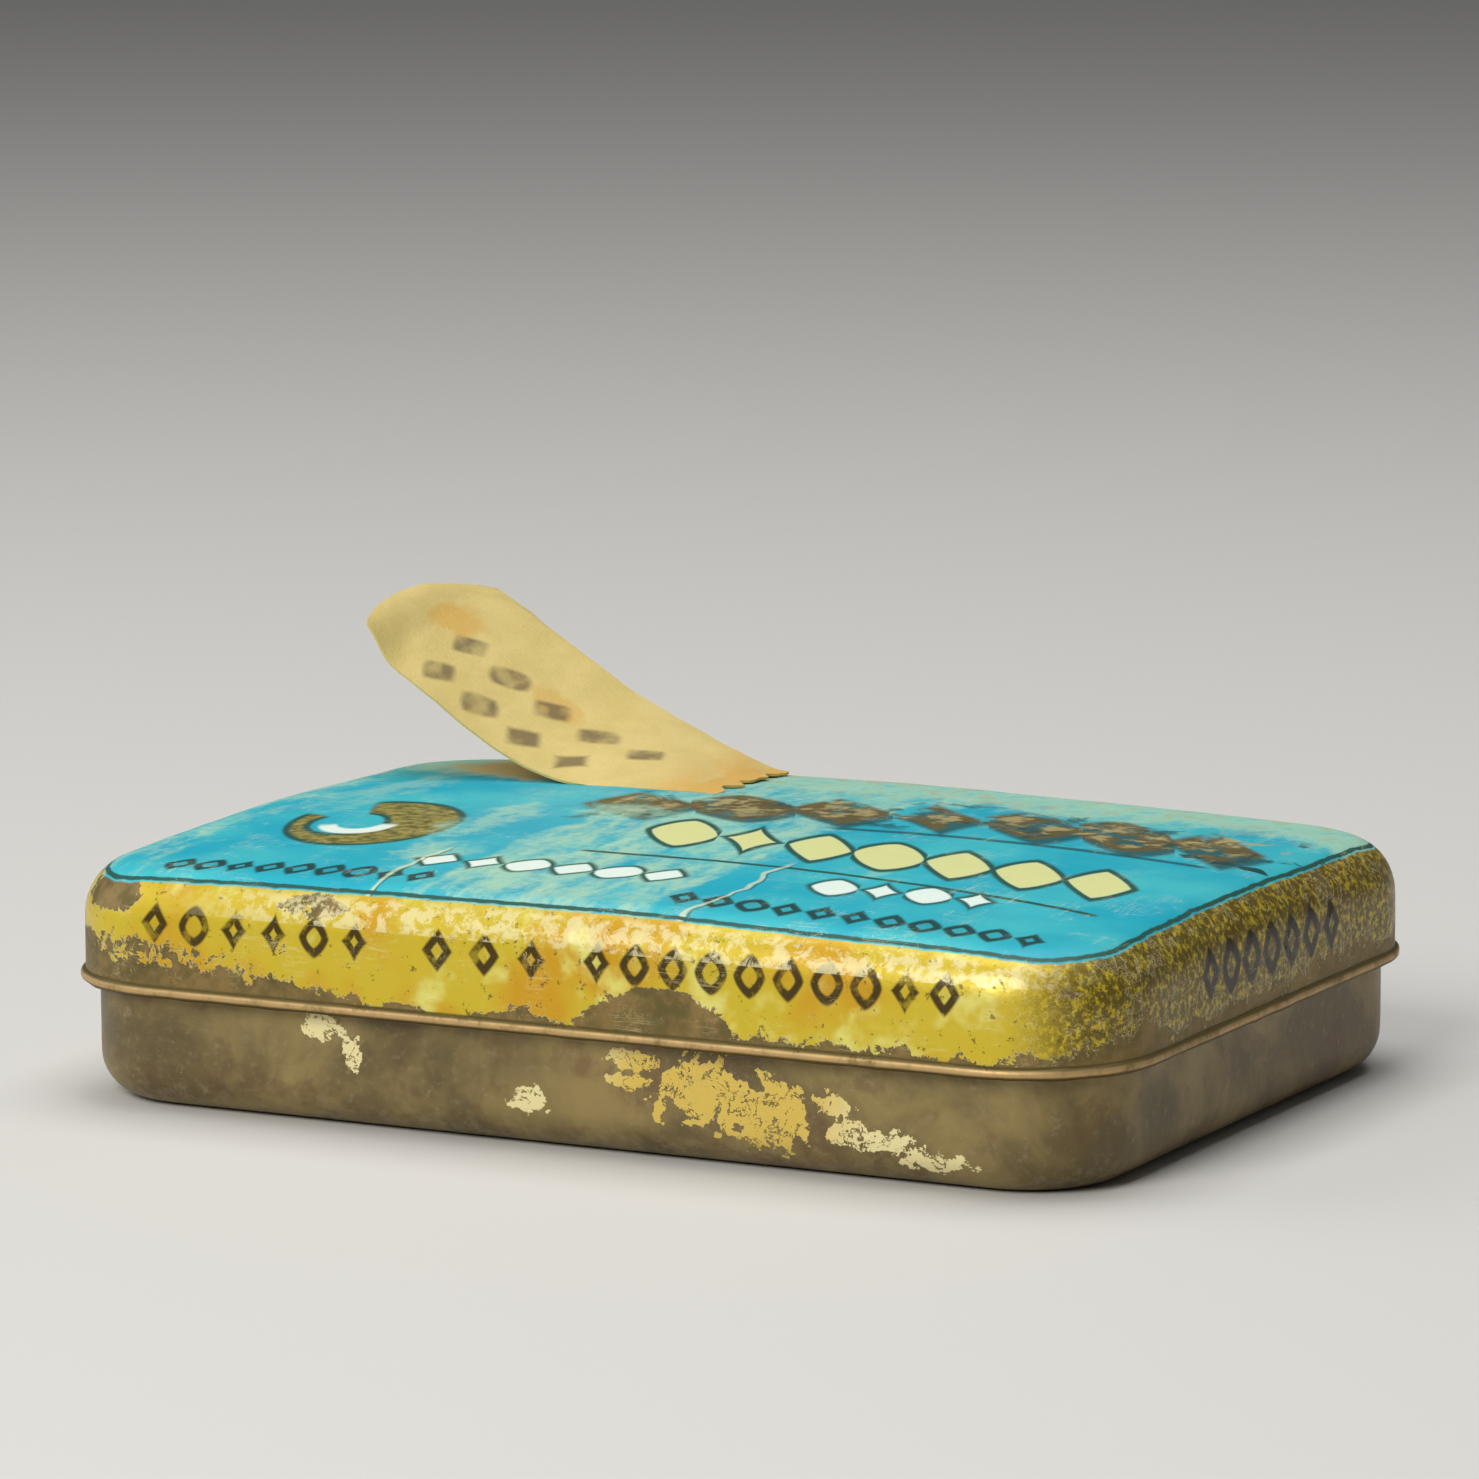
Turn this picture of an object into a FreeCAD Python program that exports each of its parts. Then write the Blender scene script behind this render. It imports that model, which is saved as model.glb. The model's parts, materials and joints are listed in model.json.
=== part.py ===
"""Hinged pocket tin for gramophone needles, with its loose needles and a torn paper label.

Frame, in millimetres: the origin is the centre of the flat bottom, +X runs along the tin's
long side, -Y is the front that opens and +Z is up. The lid is shut at rest.
"""
import FreeCAD, Part
import math
import os
import random
from FreeCAD import Vector

# Driving dimensions of the lid
LID_LENGTH = 45.0
LID_WIDTH = 32.0
LID_CORNER_R = 5.0
LID_EDGE_R = 2.0
LID_SKIRT_Z = 4.5
LID_TOP_Z = 9.9
LID_CROWN = 0.9
SHEET = 0.25
BEAD_D = 0.5
BEAD_PROUD = 0.2

# Driving dimensions of the base
BASE_INSET = 0.55
BASE_TOP_Z = 7.2
BASE_EDGE_R = 1.7
HEM_HEIGHT = 0.9

# Hinges
HINGE_X = 12.0
HINGE_Y = LID_WIDTH / 2 + 0.45
HINGE_Z = 4.25
PIN_D = 0.8
PIN_CLEARANCE = 0.05
PIN_LENGTH = 6.6
PIN_BEVEL = 0.15
KNUCKLE_D = 1.4
BASE_KNUCKLE = 3.0
LID_KNUCKLE = 1.5
KNUCKLE_GAP = 0.1

# Gramophone needles
NEEDLE_COUNT = 46
NEEDLE_D = 1.45
NEEDLE_LENGTH = 16.0
NEEDLE_TAPER = 4.2
NEEDLE_TIP_R = 0.09
NEEDLE_BEVEL = 0.15
NEEDLE_GAP = 0.02
HEAP_TOP_Z = 4.5
HEAP_SPREAD_X = 14.5
HEAP_SPREAD_Y = 13.5
HEAP_SPREAD_ANGLE = 0.4
LEAST_UPWARD = 0.3
WALL_CLEARANCE = 0.1
HEAP_TRIES = 300
SETTLE_ROUNDS = 10
HEAP_SEED = 7

# Paper label: the stuck part, then the lifted flap's edges from its root to its free end
PAPER = 0.12
PAPER_GAP = 0.02
LABEL_FRONT_Y = 7.0
LABEL_BACK_Y = 13.9
LABEL_STUCK_X = (-5.8, -4.8)
# Each row: front edge x, y, z, then back edge x, y, z. The front edge of the first two lies on
# the crowned lid.
FLAP = (
    (-5.6, 7.0, None, -5.6, 13.9, 9.62),
    (-8.8, 7.0, None, -7.9, 14.1, 10.5),
    (-11.6, 7.0, 9.72, -10.8, 14.4, 11.6),
    (-14.4, 7.0, 10.8, -13.6, 14.7, 12.9),
    (-17.1, 7.0, 12.3, -16.5, 15.0, 14.5),
    (-19.4, 7.1, 13.7, -19.1, 15.2, 16.2),
    (-20.8, 7.8, 15.4, -20.9, 14.8, 16.7),
)
FLAP_LIFT = 0.01

X_AXIS = Vector(1, 0, 0)


def export(shape, node):
    """Write one sub-part, after making sure that it is sound."""
    if not shape.isValid():
        raise ValueError("shape of " + node + " is not valid")
    shape.exportStep("parts/" + node + ".step")
    print(node, len(shape.Solids), "solid", round(shape.Volume, 3), "mm3")


def outline(length, width, radius, z):
    """Rounded rectangle as a closed wire at height z."""
    hx = length / 2
    hy = width / 2
    diagonal = radius * (1 - math.sqrt(0.5))
    edges = []
    corners = ((1, 1), (-1, 1), (-1, -1), (1, -1))
    previous = None
    for number, (sx, sy) in enumerate(corners):
        on_side = Vector(sx * hx, sy * (hy - radius), z)
        on_end = Vector(sx * (hx - radius), sy * hy, z)
        middle = Vector(sx * (hx - diagonal), sy * (hy - diagonal), z)
        start, end = (on_side, on_end) if number % 2 == 0 else (on_end, on_side)
        if previous is not None:
            edges.append(Part.LineSegment(previous, start).toShape())
        edges.append(Part.Arc(start, middle, end).toShape())
        previous = end
    edges.append(Part.LineSegment(previous, Vector(hx, hy - radius, z)).toShape())
    return Part.Wire(edges)


def prism(length, width, radius, low, high):
    """Upright solid with a rounded rectangle as its section."""
    face = Part.Face(outline(length, width, radius, low))
    return face.extrude(Vector(0, 0, high - low))


def crown_height(x, y):
    """Height of the lid's crowned top over the point x, y, away from its rounded edge."""
    along = (2 * x / LID_LENGTH) ** 2
    across = (2 * y / LID_WIDTH) ** 2
    return LID_TOP_Z - LID_CROWN / 2 * (along + across)


def barrel(raised):
    """Solid below the crowned top, with its surface raised by the given distance."""
    sagitta = LID_CROWN / 2
    along_r = ((LID_LENGTH / 2) ** 2 + sagitta ** 2) / (2 * sagitta) + raised
    across_r = ((LID_WIDTH / 2) ** 2 + sagitta ** 2) / (2 * sagitta) + raised
    half = LID_LENGTH * 0.6
    drop = along_r - math.sqrt(along_r ** 2 - half ** 2)
    top = LID_TOP_Z + raised
    axis_z = top - across_r
    left = Vector(-half, 0, top - drop)
    right = Vector(half, 0, top - drop)
    low_right = Vector(half, 0, axis_z + across_r / 2)
    low_left = Vector(-half, 0, axis_z + across_r / 2)
    edges = [
        Part.Arc(left, Vector(0, 0, top), right).toShape(),
        Part.LineSegment(right, low_right).toShape(),
        Part.LineSegment(low_right, low_left).toShape(),
        Part.LineSegment(low_left, left).toShape(),
    ]
    face = Part.Face(Part.Wire(edges))
    swing = 12.0
    centre = Vector(0, 0, axis_z)
    face.rotate(centre, X_AXIS, -swing / 2)
    return face.revolve(centre, X_AXIS, swing)


def crowned_block(inset, low, raised, edge_radius):
    """Prism under the crowned top with its upper edge rounded."""
    block = prism(LID_LENGTH - 2 * inset, LID_WIDTH - 2 * inset, LID_CORNER_R - inset,
                  low, LID_TOP_Z + 1)
    block = block.common(barrel(raised))
    block = block.Solids[0]
    upper = LID_TOP_Z - LID_CROWN + raised - 0.1
    rim = [edge for edge in block.Edges if edge.BoundBox.ZMin > upper - 0.2]
    return block.makeFillet(edge_radius, rim)


def tube_y_z(x_low, x_high, outer, inner):
    """Hollow cylinder on the hinge axis between two places along X."""
    base = Vector(x_low, HINGE_Y, HINGE_Z)
    length = x_high - x_low
    ring = Part.makeCylinder(outer / 2, length, base, X_AXIS)
    return ring.cut(Part.makeCylinder(inner / 2, length, base, X_AXIS))


def box(low, high):
    """Box between two corners."""
    size = [b - a for a, b in zip(low, high)]
    return Part.makeBox(size[0], size[1], size[2], Vector(*low))


def make_lid():
    """Drawn sheet lid: crowned top, straight skirt, rolled rim and two pairs of knuckles."""
    shell = crowned_block(0.0, LID_SKIRT_Z, 0.0, LID_EDGE_R)
    hollow = crowned_block(SHEET, LID_SKIRT_Z - 1, -SHEET, LID_EDGE_R - SHEET)
    shell = shell.cut(hollow)

    grow = BEAD_PROUD - BEAD_D / 2
    path = outline(LID_LENGTH + 2 * grow, LID_WIDTH + 2 * grow, LID_CORNER_R + grow,
                   LID_SKIRT_Z + BEAD_D / 2)
    start = Vector(LID_LENGTH / 2 + grow, LID_WIDTH / 2 - LID_CORNER_R, LID_SKIRT_Z + BEAD_D / 2)
    circle = Part.makeCircle(BEAD_D / 2, start, Vector(0, 1, 0))
    bead = path.makePipeShell([Part.Wire(circle)], True, True)

    hinge_width = BASE_KNUCKLE + 2 * (LID_KNUCKLE + KNUCKLE_GAP)
    bore = PIN_D + 2 * PIN_CLEARANCE
    bore_length = hinge_width + 2
    for side in (-1, 1):
        x = side * HINGE_X
        gap = box((x - hinge_width / 2, LID_WIDTH / 2 - 1.0, LID_SKIRT_Z - 0.5),
                  (x + hinge_width / 2, LID_WIDTH / 2 + 1.0, LID_SKIRT_Z + 1.0))
        bead = bead.cut(gap)
    shell = shell.fuse(bead)

    for side in (-1, 1):
        x = side * HINGE_X
        slot = BASE_KNUCKLE / 2 + KNUCKLE_GAP
        window = box((x - slot, LID_WIDTH / 2 - 1.0, LID_SKIRT_Z - 0.5),
                     (x + slot, LID_WIDTH / 2 + 1.0, HINGE_Z + KNUCKLE_D / 2 + 0.2))
        shell = shell.cut(window)
        for end in (-1, 1):
            inner_x = x + end * slot
            outer_x = inner_x + end * LID_KNUCKLE
            low_x = min(inner_x, outer_x)
            high_x = max(inner_x, outer_x)
            knuckle = tube_y_z(low_x, high_x, KNUCKLE_D, bore)
            leaf = box((low_x, LID_WIDTH / 2 - SHEET, HINGE_Z + 0.1),
                       (high_x, LID_WIDTH / 2, HINGE_Z + 1.0))
            shell = shell.fuse(knuckle).fuse(leaf)
        shell = shell.cut(Part.makeCylinder(
            bore / 2, bore_length, Vector(x - bore_length / 2, HINGE_Y, HINGE_Z), X_AXIS))
    return shell.removeSplitter()


def make_base():
    """Drawn sheet tray with a round bottom edge, a hemmed top edge and one knuckle a hinge."""
    length = LID_LENGTH - 2 * BASE_INSET
    width = LID_WIDTH - 2 * BASE_INSET
    radius = LID_CORNER_R - BASE_INSET
    outer = prism(length, width, radius, 0, BASE_TOP_Z)
    foot = [edge for edge in outer.Edges if edge.BoundBox.ZMax < 0.01]
    outer = outer.makeFillet(BASE_EDGE_R, foot)
    inner = prism(length - 2 * SHEET, width - 2 * SHEET, radius - SHEET, SHEET, BASE_TOP_Z + 1)
    floor = [edge for edge in inner.Edges if edge.BoundBox.ZMax < SHEET + 0.01]
    inner = inner.makeFillet(BASE_EDGE_R - SHEET, floor)
    tray = outer.cut(inner)

    hem = prism(length - SHEET, width - SHEET, radius - SHEET / 2,
                BASE_TOP_Z - HEM_HEIGHT, BASE_TOP_Z)
    hem = hem.cut(prism(length - 4 * SHEET, width - 4 * SHEET, radius - 2 * SHEET,
                        BASE_TOP_Z - HEM_HEIGHT - 1, BASE_TOP_Z + 1))
    tray = tray.fuse(hem).removeSplitter()
    lip = [edge for edge in tray.Edges if edge.BoundBox.ZMin > BASE_TOP_Z - 0.01]
    tray = tray.makeFillet(SHEET * 0.8, lip)

    bore = PIN_D + 2 * PIN_CLEARANCE
    for side in (-1, 1):
        low_x = side * HINGE_X - BASE_KNUCKLE / 2
        high_x = side * HINGE_X + BASE_KNUCKLE / 2
        knuckle = tube_y_z(low_x, high_x, KNUCKLE_D, bore)
        low_z = HINGE_Z - KNUCKLE_D / 2
        leaf = box((low_x, width / 2 - SHEET / 2, low_z), (high_x, HINGE_Y, low_z + SHEET))
        leaf = leaf.cut(Part.makeCylinder(
            bore / 2, BASE_KNUCKLE, Vector(low_x, HINGE_Y, HINGE_Z), X_AXIS))
        tray = tray.fuse(knuckle).fuse(leaf)
    return tray.removeSplitter()


def make_pin(x):
    """Hinge wire with its two ends bevelled."""
    r = PIN_D / 2
    half = PIN_LENGTH / 2
    profile = [
        Vector(-half, 0, 0),
        Vector(-half, 0, r - PIN_BEVEL),
        Vector(-half + PIN_BEVEL, 0, r),
        Vector(half - PIN_BEVEL, 0, r),
        Vector(half, 0, r - PIN_BEVEL),
        Vector(half, 0, 0),
        Vector(-half, 0, 0),
    ]
    pin = Part.Face(Part.makePolygon(profile)).revolve(Vector(0, 0, 0), X_AXIS, 360)
    pin.translate(Vector(x, HINGE_Y, HINGE_Z))
    return pin


def label_station(front_x, front_y, front_z, back_x, back_y, back_z):
    """Thin upright section of the flap, from its front edge to its back edge."""
    if front_z is None:
        front_z = crown_height(front_x, front_y) + PAPER_GAP + FLAP_LIFT
    front = Vector(front_x, front_y, front_z)
    back = Vector(back_x, back_y, back_z)
    up = Vector(0, 0, PAPER)
    return Part.makePolygon([front, back, back + up, front + up, front])


def make_label():
    """Torn paper label: one patch stuck to the lid and a flap that lifts and twists."""
    patch = box((LABEL_STUCK_X[0], LABEL_FRONT_Y, LID_TOP_Z - 2),
                (LABEL_STUCK_X[1], LABEL_BACK_Y, LID_TOP_Z + 1))
    sheet = barrel(PAPER_GAP + PAPER).cut(barrel(PAPER_GAP))
    patch = patch.common(sheet)
    flap = Part.makeLoft([label_station(*row) for row in FLAP], True, False)
    return patch.fuse(flap).removeSplitter()


def needle_shape():
    """Gramophone needle lying along X: bevelled shank, then a long conical point."""
    r = NEEDLE_D / 2
    half = NEEDLE_LENGTH / 2
    profile = [
        Vector(-half, 0, 0),
        Vector(-half, 0, r - NEEDLE_BEVEL),
        Vector(-half + NEEDLE_BEVEL, 0, r),
        Vector(half - NEEDLE_TAPER, 0, r),
        Vector(half - NEEDLE_TIP_R, 0, NEEDLE_TIP_R),
        Vector(half, 0, 0),
        Vector(-half, 0, 0),
    ]
    return Part.Face(Part.makePolygon(profile)).revolve(Vector(0, 0, 0), X_AXIS, 360)


def closest(p1, d1, p2, d2):
    """Closest approach of two segments, each given by its middle and its half-length vector.

    Returns the vector between the two nearest points and the place on the first, -1 to 1.
    """
    between = p1 - p2
    a = d1.dot(d1)
    b = d1.dot(d2)
    c = d2.dot(d2)
    denominator = a * c - b * b
    trials = []
    if denominator > 1e-9:
        s = (b * d2.dot(between) - c * d1.dot(between)) / denominator
        t = (a * d2.dot(between) - b * d1.dot(between)) / denominator
        if abs(s) <= 1 and abs(t) <= 1:
            return between + d1 * s - d2 * t, s
    for end in (-1, 1):
        t = max(-1.0, min(1.0, d2.dot(between + d1 * end) / c))
        trials.append((between + d1 * end - d2 * t, end))
        s = max(-1.0, min(1.0, -d1.dot(between - d2 * end) / a))
        trials.append((between + d1 * s - d2 * end, s))
    return min(trials, key=lambda trial: trial[0].Length)


def balance(supports):
    """Height and slope of a needle that rests on two of the supports, one each side."""
    height = 0.0
    slope = 0.0
    for s_low, z_low in supports:
        for s_high, z_high in supports:
            if s_low < 0 < s_high:
                trial = (z_low * s_high - z_high * s_low) / (s_high - s_low)
                if trial > height:
                    height = trial
                    slope = (z_high - z_low) / (s_high - s_low)
    return height, slope


def settle(x, y, angle, placed):
    """Rest one needle on the floor and on the needles below it.

    Returns its middle and its half-length vector, or None where the heap is too high.
    """
    floor_z = SHEET + NEEDLE_D / 2 + NEEDLE_GAP
    supports = [(-1.0, floor_z), (1.0, floor_z)]
    reach = NEEDLE_LENGTH + NEEDLE_D
    near = [other for other in placed if math.hypot(other[0].x - x, other[0].y - y) < reach]
    for _ in range(SETTLE_ROUNDS):
        height, slope = balance(supports)
        if height + abs(slope) + NEEDLE_D / 2 > HEAP_TOP_Z:
            return None
        middle = Vector(x, y, height)
        half = Vector(math.cos(angle), math.sin(angle), slope * 2 / NEEDLE_LENGTH)
        half = half.normalize() * (NEEDLE_LENGTH / 2)
        clear = True
        for other_middle, other_half in near:
            gap, s = closest(middle, half, other_middle, other_half)
            short = NEEDLE_D + NEEDLE_GAP - gap.Length
            if short > 0:
                crossed = gap.Length < NEEDLE_D / 4
                upward = 1.0 if crossed else max(gap.z / gap.Length, LEAST_UPWARD)
                supports.append((s, height + slope * s + short / upward + NEEDLE_GAP / 4))
                clear = False
        if clear:
            return middle, half
    return None


def inside_tray(middle, half):
    """True where both ends of the needle clear the tray's walls and its round bottom edge."""
    r = NEEDLE_D / 2
    room_x = LID_LENGTH / 2 - BASE_INSET - SHEET - r - WALL_CLEARANCE
    room_y = LID_WIDTH / 2 - BASE_INSET - SHEET - r - WALL_CLEARANCE
    corner = LID_CORNER_R - BASE_INSET - SHEET - r - WALL_CLEARANCE
    rounding = BASE_EDGE_R - SHEET
    for end in (-1, 1):
        tip = middle + half * end
        low = max(0.0, rounding - (tip.z - r - SHEET)) * 0.5
        over_x = abs(tip.x) - (room_x - corner)
        over_y = abs(tip.y) - (room_y - corner)
        if abs(tip.x) + low > room_x or abs(tip.y) + low > room_y:
            return False
        if over_x > 0 and over_y > 0 and math.hypot(over_x, over_y) + low > corner:
            return False
    return True


def heap():
    """Middle and half-length vector of each loose needle, dropped one after another."""
    chance = random.Random(HEAP_SEED)
    placed = []
    while len(placed) < NEEDLE_COUNT:
        found = []
        for _ in range(HEAP_TRIES):
            x = chance.uniform(-HEAP_SPREAD_X, HEAP_SPREAD_X)
            y = chance.uniform(-HEAP_SPREAD_Y, HEAP_SPREAD_Y)
            angle = chance.gauss(0.0, HEAP_SPREAD_ANGLE) + math.pi * chance.randrange(2)
            needle = settle(x, y, angle, placed)
            if needle is not None and inside_tray(*needle):
                found.append(needle)
        if not found:
            break
        placed.append(min(found, key=lambda needle: needle[0].z))
    return placed


def make_needles():
    """Every loose needle in its place in the heap."""
    blank = needle_shape()
    for number, (middle, half) in enumerate(heap(), 1):
        needle = blank.copy()
        turn = FreeCAD.Rotation(X_AXIS, half)
        needle.Placement = FreeCAD.Placement(middle, turn)
        export(needle, "needle_%02d" % number)


def main():
    """Write every sub-part."""
    os.makedirs("parts", exist_ok=True)
    export(make_lid(), "lid_shell")
    export(make_base(), "base_tray")
    export(make_pin(-HINGE_X), "hinge_pin_left")
    export(make_pin(HINGE_X), "hinge_pin_right")
    export(make_label(), "paper_label")
    make_needles()


main()
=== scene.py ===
"""Looks of a small hinged needle tin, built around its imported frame.

The tin has a crowned printed lid with a rolled rim, a dark lacquered tray, two wire hinges, a
torn paper label and a heap of loose steel needles. Pieces are shaped in millimetres and brought
to metres when they are finished.
"""
import json
import logging
import math
from dataclasses import dataclass, field
from enum import Enum
from functools import cache, reduce
from typing import Callable

import bmesh
import bpy
from mathutils import Matrix, Vector


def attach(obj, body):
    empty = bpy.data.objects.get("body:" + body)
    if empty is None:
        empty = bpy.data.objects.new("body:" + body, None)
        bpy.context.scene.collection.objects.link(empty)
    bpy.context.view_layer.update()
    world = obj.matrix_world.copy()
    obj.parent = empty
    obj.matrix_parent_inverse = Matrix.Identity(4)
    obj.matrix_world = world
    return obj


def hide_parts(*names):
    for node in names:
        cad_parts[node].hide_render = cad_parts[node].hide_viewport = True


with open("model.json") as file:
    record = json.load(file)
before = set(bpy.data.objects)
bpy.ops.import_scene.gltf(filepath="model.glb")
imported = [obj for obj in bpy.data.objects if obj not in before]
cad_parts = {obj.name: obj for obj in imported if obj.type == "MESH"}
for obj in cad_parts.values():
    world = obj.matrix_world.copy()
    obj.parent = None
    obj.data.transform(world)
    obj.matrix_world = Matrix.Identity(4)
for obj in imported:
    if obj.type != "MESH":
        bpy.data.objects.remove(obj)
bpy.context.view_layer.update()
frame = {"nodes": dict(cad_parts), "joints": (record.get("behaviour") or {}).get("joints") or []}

LOG = logging.getLogger("needle_tin")
MM = 0.001
ARC_STEPS = 16
CELL = 0.5
CLOSE = 1e-4
CURL_STEPS = 26
CURL_FROM_ABOVE = 300
CURL_FROM_BELOW = 290
ORIGIN = (0.0, 0.0, 0.0)

Point = tuple[float, float, float]
Colour = tuple[float, float, float]


class Pick(Enum):
    """What is picked in edit mode."""

    CORNERS = "VERT"
    EDGES = "EDGE"
    FACES = "FACE"


class Body(Enum):
    """Moving groups of the tin."""

    TRAY = "tray"
    LID = "lid"


def rgb(red: int, green: int, blue: int) -> Colour:
    """Turn a colour of 0 to 255 a channel into linear light.

    Args:
        red: Red channel.
        green: Green channel.
        blue: Blue channel.

    Returns:
        The linear colour.
    """
    def linear(channel: int) -> float:
        """Return one channel in linear light."""
        value = channel / 255
        return value / 12.92 if value <= 0.04045 else ((value + 0.055) / 1.055) ** 2.4
    return linear(red), linear(green), linear(blue)


# ---------------------------------------------------------------- bench work


def fresh(add: Callable[..., set[str]], name: str, **settings: object) -> bpy.types.Object:
    """Add one new object with nothing else selected.

    Args:
        add: The operator that adds it.
        name: Its name.
        settings: The operator's values.

    Returns:
        The new object.
    """
    bpy.ops.object.select_all(action="DESELECT")
    add(**settings)
    made = bpy.context.object
    made.name = name
    return made


def take(piece: bpy.types.Object) -> None:
    """Make one piece the only selected and active object.

    Args:
        piece: The piece.
    """
    bpy.ops.object.select_all(action="DESELECT")
    piece.select_set(True)
    bpy.context.view_layer.objects.active = piece


def open_edit(piece: bpy.types.Object, pick: Pick) -> None:
    """Enter edit mode on a piece with nothing picked.

    Args:
        piece: The piece to shape.
        pick: What will be picked.
    """
    take(piece)
    bpy.ops.object.mode_set(mode="EDIT")
    bpy.ops.mesh.select_mode(type=pick.value)
    bpy.ops.mesh.select_all(action="DESELECT")


def close_edit() -> None:
    """Leave edit mode."""
    bpy.ops.object.mode_set(mode="OBJECT")


def choose(piece: bpy.types.Object, pick: Pick, test: Callable[[list[Vector]], bool]) -> None:
    """Pick parts of the mesh in edit mode by where their corners are.

    Args:
        piece: The piece in edit mode.
        pick: What is picked.
        test: Says of a part's corner points whether it is picked.
    """
    bpy.ops.mesh.select_mode(type=pick.value)
    bpy.ops.mesh.select_all(action="DESELECT")
    mesh = bmesh.from_edit_mesh(piece.data)
    parts = {Pick.CORNERS: mesh.verts, Pick.EDGES: mesh.edges, Pick.FACES: mesh.faces}[pick]
    for part in parts:
        points = [part.co] if pick is Pick.CORNERS else [corner.co for corner in part.verts]
        if test(points):
            part.select_set(True)
    mesh.select_flush_mode()
    bmesh.update_edit_mesh(piece.data)


def set_place(piece: bpy.types.Object) -> None:
    """Put the piece's place, turn and size into its mesh."""
    take(piece)
    bpy.ops.object.transform_apply(location=True, rotation=True, scale=True)


def modify(piece: bpy.types.Object, kind: str, **settings: object) -> None:
    """Add a modifier to a piece and apply it.

    Args:
        piece: The piece to change.
        kind: Blender's name for the modifier.
        settings: The modifier's values.
    """
    modifier = piece.modifiers.new(kind.lower(), kind)
    for name, value in settings.items():
        setattr(modifier, name, value)
    take(piece)
    bpy.ops.object.modifier_apply(modifier=modifier.name)


def clad(pieces: list[bpy.types.Object], materials: list[bpy.types.Material]) -> None:
    """Give each piece its own single material.

    Args:
        pieces: The pieces.
        materials: One material for each of them.
    """
    for piece, material in zip(pieces, materials):
        piece.data.materials.clear()
        piece.data.materials.append(material)


def join(pieces: list[bpy.types.Object], name: str) -> bpy.types.Object:
    """Join pieces into the first one.

    Args:
        pieces: The pieces.
        name: Name of the result.

    Returns:
        The joined piece.
    """
    bpy.ops.object.select_all(action="DESELECT")
    for piece in pieces:
        piece.select_set(True)
    bpy.context.view_layer.objects.active = pieces[0]
    bpy.ops.object.join()
    pieces[0].name = name
    pieces[0].data.name = name
    return pieces[0]


def smooth(piece: bpy.types.Object, degrees: float) -> None:
    """Shade a piece smooth except over edges sharper than the angle."""
    take(piece)
    bpy.ops.object.shade_smooth_by_angle(angle=math.radians(degrees))


def finish_piece(piece: bpy.types.Object, body: Body, nodes: list[str]) -> None:
    """Bring a piece to metres and hand it to the frame.

    Args:
        piece: The finished piece, in millimetres.
        body: The moving group it belongs to.
        nodes: The CAD nodes it stands for.
    """
    piece.scale = (MM, MM, MM)
    set_place(piece)
    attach(piece, body.value)
    if nodes:
        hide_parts(*nodes)
    LOG.info("%s: %d faces on %s", piece.name, len(piece.data.polygons), body.value)


def rounded_plate(name: str, length: float, width: float, radius: float, z: float,
                  up: bool = True) -> bpy.types.Object:
    """Make a flat plate with round corners and evenly divided sides, left in edit mode.

    Args:
        name: Name of the new piece.
        length: Size along X.
        width: Size along Y.
        radius: Radius of the corners.
        z: Height of the plate.
        up: Whether its face looks up.

    Returns:
        The plate, as one face.
    """
    plate = fresh(bpy.ops.mesh.primitive_plane_add, name, size=1.0, location=(0, 0, z))
    plate.scale = (length, width, 1)
    set_place(plate)
    open_edit(plate, Pick.CORNERS)
    bpy.ops.mesh.select_all(action="SELECT")
    bpy.ops.mesh.bevel(offset=radius, segments=ARC_STEPS, profile=0.5, affect="VERTICES")
    bpy.ops.mesh.delete(type="ONLY_FACE")
    for axis, side in ((0, length - 2 * radius), (1, width - 2 * radius)):
        choose(plate, Pick.EDGES, lambda p: abs((p[0] - p[1])[axis]) > side * 0.9)
        bpy.ops.mesh.subdivide(number_cuts=side_steps(side) - 1)
    bpy.ops.mesh.select_all(action="SELECT")
    bpy.ops.mesh.edge_face_add()
    face = next(iter(bmesh.from_edit_mesh(plate.data).faces))
    face.normal_update()
    if (face.normal.z > 0) != up:
        bpy.ops.mesh.flip_normals()
    return plate


def side_steps(side: float) -> int:
    """Return how many steps a straight side is divided into, always even."""
    return 2 * round(side / CELL / 2)


def outline_tube(name: str, length: float, width: float, radius: float, z: float,
                 thick: float, gap: Callable[[Vector], bool] | None = None,
                 tall: float = 0.0) -> bpy.types.Object:
    """Make a round bead or a flat band along a rounded rectangle.

    Args:
        name: Name of the new piece.
        length: Size of the bead's middle line along X.
        width: Size of the middle line along Y.
        radius: Radius of its corners.
        z: Height of the middle line.
        thick: Thickness of the bead.
        gap: Says where the bead is cut away.
        tall: Extra height that turns the bead into a band.

    Returns:
        The bead as a mesh.
    """
    bead = rounded_plate(name, length, width, radius, z)
    bpy.ops.mesh.delete(type="ONLY_FACE")
    if gap is not None:
        choose(bead, Pick.CORNERS, lambda p: gap(p[0]))
        bpy.ops.mesh.delete(type="VERT")
    close_edit()
    take(bead)
    bpy.ops.object.convert(target="CURVE")
    bead.data.dimensions = "3D"
    bead.data.twist_mode = "Z_UP"
    bead.data.bevel_depth = thick / 2
    bead.data.bevel_resolution = 4
    bead.data.extrude = tall / 2
    bead.data.use_fill_caps = True
    bpy.ops.object.convert(target="MESH")
    smooth(bead, 60)
    return bead


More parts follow.
